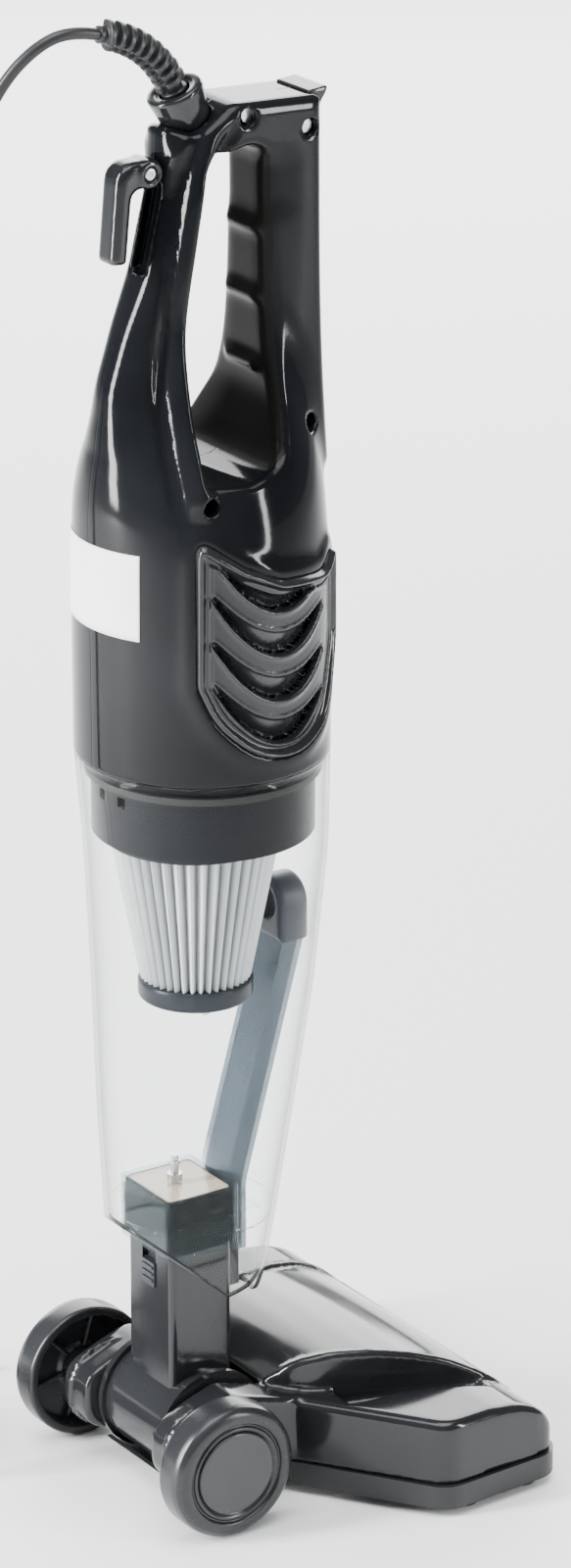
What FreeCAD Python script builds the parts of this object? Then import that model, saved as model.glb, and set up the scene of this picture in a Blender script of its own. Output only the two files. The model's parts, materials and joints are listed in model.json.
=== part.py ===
import FreeCAD, Part
import math
import os

# Upright stick vacuum cleaner: a lift-off hand unit with a clear dust cup, on a tilting neck and a wheeled
# floor head. Millimetres. Up is +Z, the front is -Y and the cleaner's right side is -X.
# Places along the machine are written as f, the distance forward of the wheel axle.

# ---------------------------------------------------------------- floor head
HEAD_HALF = 104.0          # half the width of the head
HEAD_FRONT = 148.0         # f of the front edge
HEAD_REAR = 42.0           # f of the rear edge, next to the neck
WING_REAR_F = 84.0         # f where the swept rear edge meets the end
WING_ROOT_X = 44.0         # half the width of the straight middle of the rear edge
CORNER_R = 14.0            # plan radius of the head's corners
BASE_Z = 4.0               # underside of the base plate
SEAM_Z = 14.5              # joint between the base plate and the top cover
WING_REAR_Z = 48.0         # height of the wings at the back
WING_FRONT_Z = 30.0        # height of the wings at the front
ROOF_PEAK_Z = 61.0         # height of the middle of the cover
HEAD_WALL = 2.4
SLOT_HALF = 78.0           # suction slot: half width and its two edges
SLOT_F0 = 118.0
SLOT_F1 = 136.0
FOOT_R = 6.0

# ---------------------------------------------------------------- wheels and their axles
WHEEL_R = 30.0
WHEEL_T = 16.0
WHEEL_OUT = 67.7           # outer face of each wheel from the middle
AXLE_R = 4.0
AXLE_END = 65.2
CAP_R = 20.2
CAP_T = 1.6
RUN = 0.06                 # radial running clearance on axles and pins
SEAT = 0.04                # radial clearance of round pieces that are fixed in their holes
GAP = 0.3                  # clearance between neighbours
AXLE_Y = (HEAD_FRONT - WHEEL_R) / 2.0
AXLE_Z = WHEEL_R

# ---------------------------------------------------------------- neck
PIVOT_F = 14.75            # the neck turns about this line, level with the axle
BARREL_R = 24.6
FLANGE_R = 26.6
BARREL_HALF = 25.0
BARREL_WALL = 2.4
FLANGE_T = 3.0
PIN_R = 5.0
BUSH_R = 8.0
NECK_W = 34.4
NECK_D = 31.3
NECK_WALL = 2.4
NECK_TOP = 136.0
SPOUT_HALF = 8.3
BUTTON_W = 10.0
NECK_BUTTON_Z = 93.0
NECK_BUTTON_H = 11.0
BUTTON_TRAVEL = 2.5

# ---------------------------------------------------------------- dust cup
CUP_WALL = 1.8
CUP_TOP = 333.0
# height, f of the back and f of the front of the round body
CUP_SECTIONS = [
    (76.0, -16.0, 47.5),
    (120.0, -16.8, 56.2),
    (170.0, -19.0, 64.5),
    (230.0, -20.2, 74.4),
    (290.0, -22.6, 80.8),
    (CUP_TOP, -26.4, 81.3),
]
FLOOR_Z = 124.0
FLOOR_T = 2.4
SOCKET_BOTTOM = 112.0
SOCKET_WALL = 1.6
DUCT_W = 20.5
DUCT_D = 10.0
DUCT_WALL = 1.4
DUCT_BEND_Z = 134.0
DUCT_TOP_Z = 246.0
DUCT_TOP_F = 63.0

# ---------------------------------------------------------------- filter and collar
COLLAR_F = 27.8
COLLAR_R = 47.0
COLLAR_BOTTOM = 298.0
COLLAR_WALL = 2.2
FAN_CLEARANCE = 6.8
MOUNT_CLEARANCE = 0.8
FLANGE_CLEARANCE = 0.9
FILTER_F = 23.5
FILTER_TOP_R = 36.0
FILTER_BOTTOM_R = 23.5
FILTER_BOTTOM = 222.0
FILTER_RING_H = 9.0
PLEATS = 40
PLEAT_DEPTH = 3.0

# ---------------------------------------------------------------- motor housing and handle
BODY_SECTIONS = [
    (CUP_TOP, 27.4, 53.9, 53.9),
    (385.0, 27.6, 53.7, 53.7),
    (430.0, 27.8, 50.5, 52.0),
    (455.0, 27.8, 42.0, 51.0),
    (480.0, 28.0, 28.0, 49.5),
    (505.0, 28.8, 17.5, 47.0),
]
HOUSING_WALL = 2.4
HANDLE_HALF = 17.5
BAR_REAR = 48.0            # f of the gripped side of the front bar
BAR_FRONT = 76.0
HANDLE_TOP = 609.0
MOTOR_R = 29.0
MOTOR_Z0 = 341.0
MOTOR_Z1 = 408.0
SHAFT_R = 2.5
FAN_R = COLLAR_R - COLLAR_WALL - FAN_CLEARANCE
VENT_ANGLE = 12.5          # the vents face this far forward of straight sideways
VENT_HALF = 39.0
VENT_Z0 = 342.0
VENT_Z1 = 436.0
VENT_OUT = 56.4
SWITCH_TRAVEL = 6.0
PRESS_TRAVEL = 3.0
SCREW_HEAD_R = 3.0

# ---------------------------------------------------------------- cord hook
HOOK_Z = HANDLE_TOP - 26.0
HOOK_ROOT_F = 4.0          # f where the arm meets the back of the handle
HOOK_STEM_R = 3.5
HOOK_CLIP_R = 5.5
HOOK_CLIP_F = 12.0
HOOK_STEM_END = 15.0

# ---------------------------------------------------------------- cord
CORD_D = 5.0
CORD_LENGTH = 5000.0
GLAND_BASE = (22.0, HANDLE_TOP - 8.5)     # f and z of the gland's foot, on the sloping back of the handle's top
GLAND_AXIS = (-0.42, 0.9075)
GLAND_L = 16.0
BOOT_TIP = (-19.8, HANDLE_TOP + 32.7)
BOOT_R = 4.2
BOOT_RIB_R = 7.0
BOOT_RIBS = 8
COIL_X = 96.0
COIL_F = -100.0
COIL_MEAN_R = 28.0
COIL_TURNS_WIDE = 5
COIL_TURNS_HIGH = 5
# the free stretch, as x, f and z, from the tip of the boot down to the coil
CORD_ROUTE = [
    (0.0, -19.8, 641.7),
    (0.6, -31.5, 644.6),
    (3.5, -45.5, 640.2),
    (10.5, -58.5, 625.0),
    (20.0, -67.0, 598.0),
    (29.0, -70.5, 556.0),
    (35.5, -70.0, 497.0),
    (41.5, -67.0, 428.0),
    (44.5, -68.5, 352.0),
    (44.0, -72.5, 276.0),
    (46.5, -75.0, 200.0),
    (45.0, -78.5, 132.0),
    (46.0, -83.0, 78.0),
    (49.0, -93.0, 38.0),
    (52.5, -109.5, 12.0),
    (61.0, -126.0, 2.5),
    (73.0, -137.2, 2.5),
    (88.0, -143.4, 2.5),
]
# the stretch from the coil to the plug
TAIL_ROUTE = [
    (137.7, -114.4, 2.5),
    (140.4, -100.6, 2.5),
    (141.6, -86.6, 3.6),
    (139.6, -73.0, 7.0),
]
PLUG_L = 34.0
PLUG_W = 34.0
PLUG_T = 14.0


def at(x, f, z):
    """A point from its sideways place, its distance forward of the axle and its height."""
    return FreeCAD.Vector(x, AXLE_Y - f, z)


def block(x0, x1, f0, f1, z0, z1):
    """A box between two sideways places, two forward places and two heights."""
    return Part.makeBox(x1 - x0, f1 - f0, z1 - z0, at(x0, f1, z0))


def rod(radius, start, end):
    """A round bar between two points."""
    line = end - start
    return Part.makeCylinder(radius, line.Length, start, line)


def across(radius, x0, x1, f, z):
    """A round bar that lies sideways."""
    return rod(radius, at(x0, f, z), at(x1, f, z))


def upright(radius, x, f, z0, z1):
    """A round bar that stands up."""
    return rod(radius, at(x, f, z0), at(x, f, z1))


def ring(outer, inner, f, z0, z1):
    """An upright tube on the middle plane."""
    return upright(outer, 0, f, z0, z1).cut(upright(inner, 0, f, z0 - 1, z1 + 1))


def rounded_loop(corners, place):
    """A closed wire through corners (u, v, radius), each rounded by an arc; place turns u, v into a point."""
    edges = []
    ends = []
    count = len(corners)
    for i in range(count):
        u, v, radius = corners[i]
        before = corners[i - 1]
        after = corners[(i + 1) % count]
        a = (before[0] - u, before[1] - v)
        b = (after[0] - u, after[1] - v)
        length_a = math.hypot(*a)
        length_b = math.hypot(*b)
        a = (a[0] / length_a, a[1] / length_a)
        b = (b[0] / length_b, b[1] / length_b)
        if radius <= 0:
            ends.append(((u, v), (u, v), None))
            continue
        half = 0.5 * math.acos(max(-1.0, min(1.0, a[0] * b[0] + a[1] * b[1])))
        reach = min(radius / math.tan(half), 0.48 * length_a, 0.48 * length_b)
        radius = reach * math.tan(half)
        middle = (a[0] + b[0], a[1] + b[1])
        size = math.hypot(*middle)
        depth = radius / math.sin(half) - radius
        top = (u + middle[0] / size * depth, v + middle[1] / size * depth)
        start = (u + a[0] * reach, v + a[1] * reach)
        end = (u + b[0] * reach, v + b[1] * reach)
        ends.append((start, end, top))
    for i in range(count):
        start, end, top = ends[i]
        if top is not None:
            edges.append(Part.Arc(place(*start), place(*top), place(*end)).toShape())
        following = ends[(i + 1) % count][0]
        if math.dist(end, following) > 1e-6:
            edges.append(Part.LineSegment(place(*end), place(*following)).toShape())
    return Part.Wire(edges)


def side_prism(corners, x0, x1):
    """A profile of corners (f, z, radius), seen from the side, as thick as from x0 to x1."""
    face = Part.Face(rounded_loop(corners, lambda f, z: at(x0, f, z)))
    return face.extrude(FreeCAD.Vector(x1 - x0, 0, 0))


def plan_prism(corners, z0, z1):
    """A profile of corners (x, f, radius), seen from above, between two heights."""
    face = Part.Face(rounded_loop(corners, lambda x, f: at(x, f, z0)))
    return face.extrude(FreeCAD.Vector(0, 0, z1 - z0))


def rounded_box(half_x, f0, f1, z0, z1, radius):
    """An upright box with rounded corners, seen from above."""
    corners = [(-half_x, f0, radius), (half_x, f0, radius), (half_x, f1, radius), (-half_x, f1, radius)]
    return plan_prism(corners, z0, z1)


def mirrored(shape):
    """The same shape on the other side of the machine."""
    return shape.mirror(FreeCAD.Vector(0, 0, 0), FreeCAD.Vector(1, 0, 0))


def sides(name, right):
    """A right-hand piece and its mirror image, as two nodes."""
    return {name + "_right": right, name + "_left": mirrored(right)}


def screw(x, f, z, length, down=False):
    """A pan-head screw lying sideways, or upright and driven from below when down is set."""
    turn = -1.0 if x < 0 else 1.0
    if down:
        head = upright(SCREW_HEAD_R, x, f, z, z + 2.0)
        return head.fuse(upright(1.4, x, f, z + 2.0, z + length))
    head = across(SCREW_HEAD_R, x, x - turn * 2.0, f, z)
    return head.fuse(across(1.4, x - turn * 2.0, x - turn * length, f, z))


# ---------------------------------------------------------------- head
def head_plan(inset):
    """The head seen from above: straight behind the neck, swept wings, straight front."""
    root = WING_ROOT_X
    half = HEAD_HALF - inset
    rear = HEAD_REAR + inset
    wing = WING_REAR_F + inset
    front = HEAD_FRONT - inset
    radius = CORNER_R - inset
    return [
        (-root, rear, 4.0),
        (root, rear, 4.0),
        (half, wing, radius),
        (half - 4.0, front, radius),
        (-half + 4.0, front, radius),
        (-half, wing, radius),
    ]


def roof_plan(inset):
    """The raised middle of the cover seen from above."""
    return [
        (-32.0 + inset, HEAD_REAR - 2.0 + inset, 6.0),
        (32.0 - inset, HEAD_REAR - 2.0 + inset, 6.0),
        (45.0 - inset, 78.0, 30.0),
        (68.0 - inset, HEAD_FRONT - 12.0 - inset, 8.0),
        (-68.0 + inset, HEAD_FRONT - 12.0 - inset, 8.0),
        (-45.0 + inset, 78.0, 30.0),
    ]


def cover_body(inset):
    """The top cover as a solid, smaller by inset on every side."""
    low = SEAM_Z - 5.0 if inset else SEAM_Z
    wings = plan_prism(head_plan(inset), low, WING_REAR_Z)
    slope = side_prism(
        [
            (HEAD_REAR - 10.0, low - 1.0, 0),
            (HEAD_FRONT + 5.0, low - 1.0, 0),
            (HEAD_FRONT + 5.0, SEAM_Z + 3.0 - inset, 0),
            (HEAD_FRONT - 10.0, WING_FRONT_Z - inset, 18.0),
            (96.0, WING_REAR_Z - inset, 30.0),
            (HEAD_REAR - 10.0, WING_REAR_Z - inset, 0),
        ],
        -HEAD_HALF,
        HEAD_HALF,
    )
    roof = plan_prism(roof_plan(inset), low, ROOF_PEAK_Z + 5.0)
    arch = side_prism(
        [
            (HEAD_REAR - 4.0, low - 1.0, 0),
            (HEAD_FRONT - 2.0, low - 1.0, 0),
            (HEAD_FRONT - 4.0, WING_FRONT_Z - 2.0 - inset, 8.0),
            (116.0, 49.0 - inset, 30.0),
            (74.0, ROOF_PEAK_Z + 1.0 - inset, 40.0),
            (52.0, ROOF_PEAK_Z - 1.0 - inset, 16.0),
            (HEAD_REAR - 4.0, 49.0 - inset, 0),
        ],
        -HEAD_HALF,
        HEAD_HALF,
    )
    return wings.common(slope).fuse(roof.common(arch))


def ear(x0, x1):
    """An arm of the cover that carries a wheel axle and one end of the neck's barrel."""
    hub = across(18.0, x0, x1, 0, AXLE_Z)
    pivot = across(23.0, x0, x1, PIVOT_F, AXLE_Z)
    web = side_prism(
        [
            (0, AXLE_Z - 18.0, 0),
            (PIVOT_F, AXLE_Z - 23.0, 0),
            (HEAD_REAR - 1.0, SEAM_Z, 0),
            (HEAD_REAR + 6.0, SEAM_Z, 0),
            (HEAD_REAR + 6.0, WING_REAR_Z - 1.5, 0),
            (PIVOT_F, AXLE_Z + 23.0, 0),
            (0, AXLE_Z + 18.0, 0),
        ],
        x0,
        x1,
    )
    return hub.fuse(pivot).fuse(web)


EAR_X0 = BARREL_HALF + 0.5
EAR_X1 = 45.0
SPIGOT_END = WHEEL_OUT - WHEEL_T - 0.5
DUCT_HALF = 19.0
HEAD_DUCT_Z0 = BASE_Z + HEAD_WALL
HEAD_DUCT_Z1 = 36.0
BOSS_R = 4.5
# x and f of the screws that hold the base plate to the cover
HEAD_SCREWS = [(30.0, 60.0), (88.0, 104.0), (50.0, 142.5)]


def head_screw_places():
    return [(side * x, f) for side in (-1, 1) for x, f in HEAD_SCREWS]


def make_head():
    nodes = {}
    shell = cover_body(0).cut(cover_body(HEAD_WALL))
    for x, f in head_screw_places():
        shell = shell.fuse(upright(BOSS_R, x, f, SEAM_Z, ROOF_PEAK_Z))
    shell = shell.common(cover_body(0))
    ears = ear(EAR_X0, EAR_X1)
    ears = ears.fuse(Part.makeCone(15.0, 9.5, SPIGOT_END - EAR_X1, at(EAR_X1, 0, AXLE_Z), FreeCAD.Vector(1, 0, 0)))
    ears = ears.cut(across(AXLE_R, EAR_X0 - 1, SPIGOT_END + 1, 0, AXLE_Z))
    ears = ears.cut(across(PIN_R + SEAT, EAR_X0 - 1, EAR_X1 - 4.0, PIVOT_F, AXLE_Z))
    ears = ears.cut(cover_body(HEAD_WALL))
    shell = shell.fuse(ears).fuse(mirrored(ears))
    doorway = block(-DUCT_HALF - 0.3, DUCT_HALF + 0.3, HEAD_REAR - 5, HEAD_REAR + 12, SEAM_Z - 1, HEAD_DUCT_Z1 + 0.3)
    shell = shell.cut(doorway)
    shell = shell.cut(across(FLANGE_R + 0.5, -EAR_X0 + 0.1, EAR_X0 - 0.1, PIVOT_F, AXLE_Z))
    for x, f in head_screw_places():
        shell = shell.cut(upright(1.4, x, f, SEAM_Z - 1, 24.0))
    nodes["head_top_cover"] = shell.removeSplitter()

    plate = plan_prism(head_plan(0), BASE_Z, SEAM_Z)
    plate = plate.cut(plan_prism(head_plan(HEAD_WALL), BASE_Z + HEAD_WALL, SEAM_Z + 1))
    cradle = across(FLANGE_R + 2.2, -BARREL_HALF, BARREL_HALF, PIVOT_F, AXLE_Z)
    cradle = cradle.cut(across(FLANGE_R + 0.4, -BARREL_HALF - 1, BARREL_HALF + 1, PIVOT_F, AXLE_Z))
    cradle = cradle.common(block(-BARREL_HALF, BARREL_HALF, -30, 60, 0, 12.0))
    bridge = block(-BARREL_HALF, BARREL_HALF, PIVOT_F + 8.0, HEAD_REAR + 3.0, BASE_Z, BASE_Z + HEAD_WALL)
    bridge = bridge.cut(across(FLANGE_R + 0.4, -BARREL_HALF - 1, BARREL_HALF + 1, PIVOT_F, AXLE_Z))
    plate = plate.fuse(cradle).fuse(bridge)
    frame = block(-SLOT_HALF - 2, SLOT_HALF + 2, SLOT_F0 - 2, SLOT_F1 + 1.8, BASE_Z, SEAM_Z)
    plate = plate.fuse(frame)
    for x, f in head_screw_places():
        plate = plate.fuse(upright(BOSS_R, x, f, BASE_Z, SEAM_Z))
    plate = plate.cut(block(-SLOT_HALF, SLOT_HALF, SLOT_F0, SLOT_F1, BASE_Z - 1, SEAM_Z + 1))
    plate = plate.cut(block(-DUCT_HALF, DUCT_HALF, SLOT_F0 - 3, SLOT_F0 + 1, HEAD_DUCT_Z0 + 0.0, SEAM_Z + 1))
    plate = plate.cut(block(-DUCT_HALF, DUCT_HALF, HEAD_REAR - 1, HEAD_REAR + 3, HEAD_DUCT_Z0, SEAM_Z + 1))
    for x, f in head_screw_places():
        plate = plate.cut(upright(SCREW_HEAD_R + 0.3, x, f, BASE_Z - 1, BASE_Z + 3.0))
        plate = plate.cut(upright(1.6, x, f, BASE_Z, SEAM_Z + 1))
    nodes["head_base_plate"] = plate.removeSplitter()

    # the roof over the slot closes the suction chamber, and the duct leads it back to the neck
    chamber = block(-SLOT_HALF - 2, SLOT_HALF + 2, SLOT_F0 - 2, SLOT_F1 + 1.8, SEAM_Z, SEAM_Z + 8.0)
    chamber = chamber.cut(block(-SLOT_HALF, SLOT_HALF, SLOT_F0, SLOT_F1, SEAM_Z - 1, SEAM_Z + 6.0))
    duct_corners = [
        (HEAD_REAR + 0.2, HEAD_DUCT_Z0, 0),
        (SLOT_F0 - 3.2, HEAD_DUCT_Z0, 0),
        (SLOT_F0 - 3.2, SEAM_Z + 8.0, 0),
        (70.0, HEAD_DUCT_Z1, 30.0),
        (HEAD_REAR + 0.2, HEAD_DUCT_Z1, 0),
    ]
    duct = side_prism(duct_corners, -DUCT_HALF, DUCT_HALF)
    bore_corners = [(f, z + (1.8 if z < 10 else -1.8), r) for f, z, r in duct_corners]
    bore_corners[0] = (HEAD_REAR - 1, bore_corners[0][1], 0)
    bore_corners[-1] = (HEAD_REAR - 1, bore_corners[-1][1], 0)
    duct = duct.cut(side_prism(bore_corners, -DUCT_HALF + 1.8, DUCT_HALF - 1.8))
    link = block(-DUCT_HALF, DUCT_HALF, SLOT_F0 - 5, SLOT_F0 + 0.0, SEAM_Z, SEAM_Z + 8.0)
    passage = block(-DUCT_HALF + 1.8, DUCT_HALF - 1.8, SLOT_F0 - 8, SLOT_F0 + 1, HEAD_DUCT_Z0 + 1.8, SEAM_Z + 6.0)
    nodes["head_air_duct"] = chamber.fuse(duct).fuse(link).cut(passage).removeSplitter()

    feet = []
    for x, f in [(92.0, 100.0), (90.0, 132.0)]:
        for side in (-1, 1):
            feet.append(upright(FOOT_R, side * x, f, 0, BASE_Z))
    nodes["glide_feet"] = Part.makeCompound(feet)
    strips = []
    for side in (-1, 1):
        x0, x1 = sorted((side * 24.0, side * 76.0))
        strips.append(block(x0, x1, SLOT_F0 - 12.0, SLOT_F0 - 4.0, 0.8, BASE_Z))
    nodes["lint_strips"] = Part.makeCompound(strips)
    nodes["head_screws"] = Part.makeCompound(
        [screw(x, f, BASE_Z + 1.0, 18.0, down=True) for x, f in head_screw_places()]
    )
    nodes["neck_pivot_pins"] = Part.makeCompound(
        [
            across(PIN_R, side * (BARREL_HALF - 4.0), side * (EAR_X1 - 4.0), PIVOT_F, AXLE_Z)
            for side in (-1, 1)
        ]
    )
    axle = across(AXLE_R, EAR_X0 + 1.0, AXLE_END, 0, AXLE_Z)
    groove = across(AXLE_R + 1, WHEEL_OUT - 4.5, WHEEL_OUT - 3.6, 0, AXLE_Z).cut(
        across(AXLE_R - 0.8, WHEEL_OUT - 5, WHEEL_OUT - 3, 0, AXLE_Z)
    )
    axle = axle.cut(groove)
    nodes["wheel_axles"] = Part.makeCompound([axle, mirrored(axle)])
    clip = across(6.4, WHEEL_OUT - 4.45, WHEEL_OUT - 3.65, 0, AXLE_Z)
    clip = clip.cut(across(AXLE_R - 0.75, WHEEL_OUT - 6, WHEEL_OUT - 3, 0, AXLE_Z))
    nodes["axle_clips"] = Part.makeCompound([clip, mirrored(clip)])
    return nodes


def make_wheels():
    inner = WHEEL_OUT - WHEEL_T
    wheel = across(WHEEL_R, inner, WHEEL_OUT, 0, AXLE_Z)
    rims = [e for e in wheel.Edges if abs(e.Length - 2 * math.pi * WHEEL_R) < 0.1]
    wheel = wheel.makeFillet(3.4, rims)
    pocket = across(25.5, inner - 1, WHEEL_OUT - 6.2, 0, AXLE_Z).cut(across(9.0, inner - 2, WHEEL_OUT, 0, AXLE_Z))
    wheel = wheel.cut(pocket)
    for k in range(6):
        rib = block(inner + 3.0, WHEEL_OUT - 5.0, 8.0, 26.5, AXLE_Z - 1.0, AXLE_Z + 1.0)
        rib.rotate(at(0, 0, AXLE_Z), FreeCAD.Vector(1, 0, 0), 60.0 * k)
        wheel = wheel.fuse(rib)
    wheel = wheel.cut(across(CAP_R + 0.3, WHEEL_OUT - CAP_T - 0.2, WHEEL_OUT + 1, 0, AXLE_Z))
    wheel = wheel.cut(across(7.2, WHEEL_OUT - 4.6, WHEEL_OUT + 1, 0, AXLE_Z))
    wheel = wheel.cut(across(AXLE_R + RUN, inner - 1, WHEEL_OUT + 1, 0, AXLE_Z))
    cap = across(CAP_R, WHEEL_OUT - CAP_T - 0.2, WHEEL_OUT - 0.2, 0, AXLE_Z)
    nodes = {"wheel_left": wheel.removeSplitter(), "wheel_right": mirrored(wheel.removeSplitter())}
    nodes.update({"wheel_cap_left": cap, "wheel_cap_right": mirrored(cap)})
    return nodes


# ---------------------------------------------------------------- neck
NECK_F0 = PIVOT_F - NECK_D / 2
NECK_F1 = PIVOT_F + NECK_D / 2
SPOUT_F0 = NECK_F1 + 3.4
SPOUT_F1 = SPOUT_F0 + 6.2
SPOUT_TOP = 117.0


def make_neck():
    nodes = {}
    barrel = across(BARREL_R, -BARREL_HALF, BARREL_HALF, PIVOT_F, AXLE_Z)
    for side in (-1, 1):
        barrel = barrel.fuse(across(FLANGE_R, side * (BARREL_HALF - FLANGE_T), side * BARREL_HALF, PIVOT_F, AXLE_Z))
    bore = across(BARREL_R - BARREL_WALL, -BARREL_HALF + 4, BARREL_HALF - 4, PIVOT_F, AXLE_Z)
    barrel = barrel.cut(bore)
    barrel = barrel.cut(across(BUSH_R + SEAT, -BARREL_HALF - 1, BARREL_HALF + 1, PIVOT_F, AXLE_Z))
    # the window stays over the head's duct from upright to fully tilted
    window = side_prism(
        [(PIVOT_F, AXLE_Z, 0), (PIVOT_F + 40, AXLE_Z + 10, 0), (PIVOT_F + 40, -20, 0), (PIVOT_F - 4, -20, 0)],
        -15.5,
        15.5,
    )
    barrel = barrel.cut(window)
    upper = barrel.common(block(-30, 30, -30, 60, AXLE_Z, 80))
    lower = barrel.common(block(-30, 30, -30, 60, -5, AXLE_Z))

    tube = rounded_box(NECK_W / 2, NECK_F0, NECK_F1, AXLE_Z + 14.0, NECK_TOP, 3.0)
    channel = rounded_box(
        NECK_W / 2 - NECK_WALL, NECK_F0 + NECK_WALL, NECK_F1 - NECK_WALL, AXLE_Z - 4, NECK_TOP - NECK_WALL, 1.5
    )
    spout = rounded_box(SPOUT_HALF, NECK_F1 - 1, SPOUT_F1, 86.0, 99.0, 1.0)
    spout = spout.fuse(rounded_box(SPOUT_HALF, SPOUT_F0, SPOUT_F1, 98.0, SPOUT_TOP, 1.0))
    spout_bore = block(-SPOUT_HALF + 1.4, SPOUT_HALF - 1.4, NECK_F1 - 4, SPOUT_F1 - 1.4, 87.4, 97.6)
    spout_bore = spout_bore.fuse(
        block(-SPOUT_HALF + 1.4, SPOUT_HALF - 1.4, SPOUT_F0 + 1.4, SPOUT_F1 - 1.4, 90.0, SPOUT_TOP + 1)
    )
    neck = upper.fuse(tube)
    neck = neck.cut(across(BARREL_R - BARREL_WALL, -17.0, 17.0, PIVOT_F, AXLE_Z))
    neck = neck.cut(across(BUSH_R + SEAT, -BARREL_HALF - 1, BARREL_HALF + 1, PIVOT_F, AXLE_Z))
    neck = neck.fuse(spout).cut(channel).cut(spout_bore)
    hole = block(
        -BUTTON_W / 2 - 0.3,
        BUTTON_W / 2 + 0.3,
        NECK_F0 - 1,
        NECK_F0 + NECK_WALL + 1,
        NECK_BUTTON_Z - 0.3,
        NECK_BUTTON_Z + NECK_BUTTON_H + 6.0,
    )
    neck = neck.cut(hole)
    guide = block(-8.5, 8.5, NECK_F0 + NECK_WALL, NECK_F0 + 10.5, 88.0, NECK_BUTTON_Z + NECK_BUTTON_H + 9.0)
    guide = guide.cut(
        block(-6.5, 6.5, NECK_F0, NECK_F0 + 9.0, 90.0, NECK_BUTTON_Z + NECK_BUTTON_H + 7.0)
    )
    neck = neck.fuse(guide)
    nodes["neck_tube"] = neck.removeSplitter()
    nodes["neck_barrel_cover"] = lower.removeSplitter()
    nodes["pivot_bushes"] = Part.makeCompound(
        [
            across(BUSH_R, side * (BARREL_HALF - 4.0), side * BARREL_HALF, PIVOT_F, AXLE_Z).cut(
                across(PIN_R + RUN, side * (BARREL_HALF - 5.0), side * (BARREL_HALF + 1.0), PIVOT_F, AXLE_Z)
            )
            for side in (-1, 1)
        ]
    )
    gasket = rounded_box(NECK_W / 2 - 0.4, NECK_F0 + 0.4, NECK_F1 - 0.4, NECK_TOP, NECK_TOP + 0.8, 2.6)
    nodes["neck_top_gasket"] = gasket
    face = NECK_F0 - 0.8
    button = block(-BUTTON_W / 2, BUTTON_W / 2, face, NECK_F0 + 3.0, NECK_BUTTON_Z, NECK_BUTTON_Z + NECK_BUTTON_H)
    button = button.fuse(block(-6.2, 6.2, NECK_F0 + 2.7, NECK_F0 + 4.2, NECK_BUTTON_Z - 1.5, NECK_BUTTON_Z + 13.0))
    for k in range(3):
        ridge = block(-4.0, 4.0, face - 0.6, face + 0.1, NECK_BUTTON_Z + 2.0 + 3.0 * k, NECK_BUTTON_Z + 3.2 + 3.0 * k)
        button = button.fuse(ridge)
    nodes["neck_release_button"] = button
    # the spring is as long as when the button is pressed in
    middle = NECK_BUTTON_Z + NECK_BUTTON_H / 2
    pressed = NECK_F0 + 4.2 + BUTTON_TRAVEL + 0.2
    spring = rod(2.2, at(0, pressed, middle), at(0, NECK_F0 + 9.0, middle))
    nodes["neck_button_spring"] = spring.cut(rod(1.6, at(0, pressed - 1, middle), at(0, NECK_F0 + 10.0, middle)))
    return nodes


# ---------------------------------------------------------------- dust cup
def cup_body(inset, top, bottom=None):
    wires = []
    for z, rear, front in CUP_SECTIONS:
        radius = (front - rear) / 2 - inset
        circle = Part.Circle(at(0, (front + rear) / 2, z), FreeCAD.Vector(0, 0, 1), radius)
        wires.append(Part.Wire([circle.toShape()]))
    solid = Part.makeLoft(wires, True, False)
    lowest = CUP_SECTIONS[0][0] if bottom is None else bottom
    return solid.common(block(-80, 80, -60, 120, lowest, top))


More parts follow.
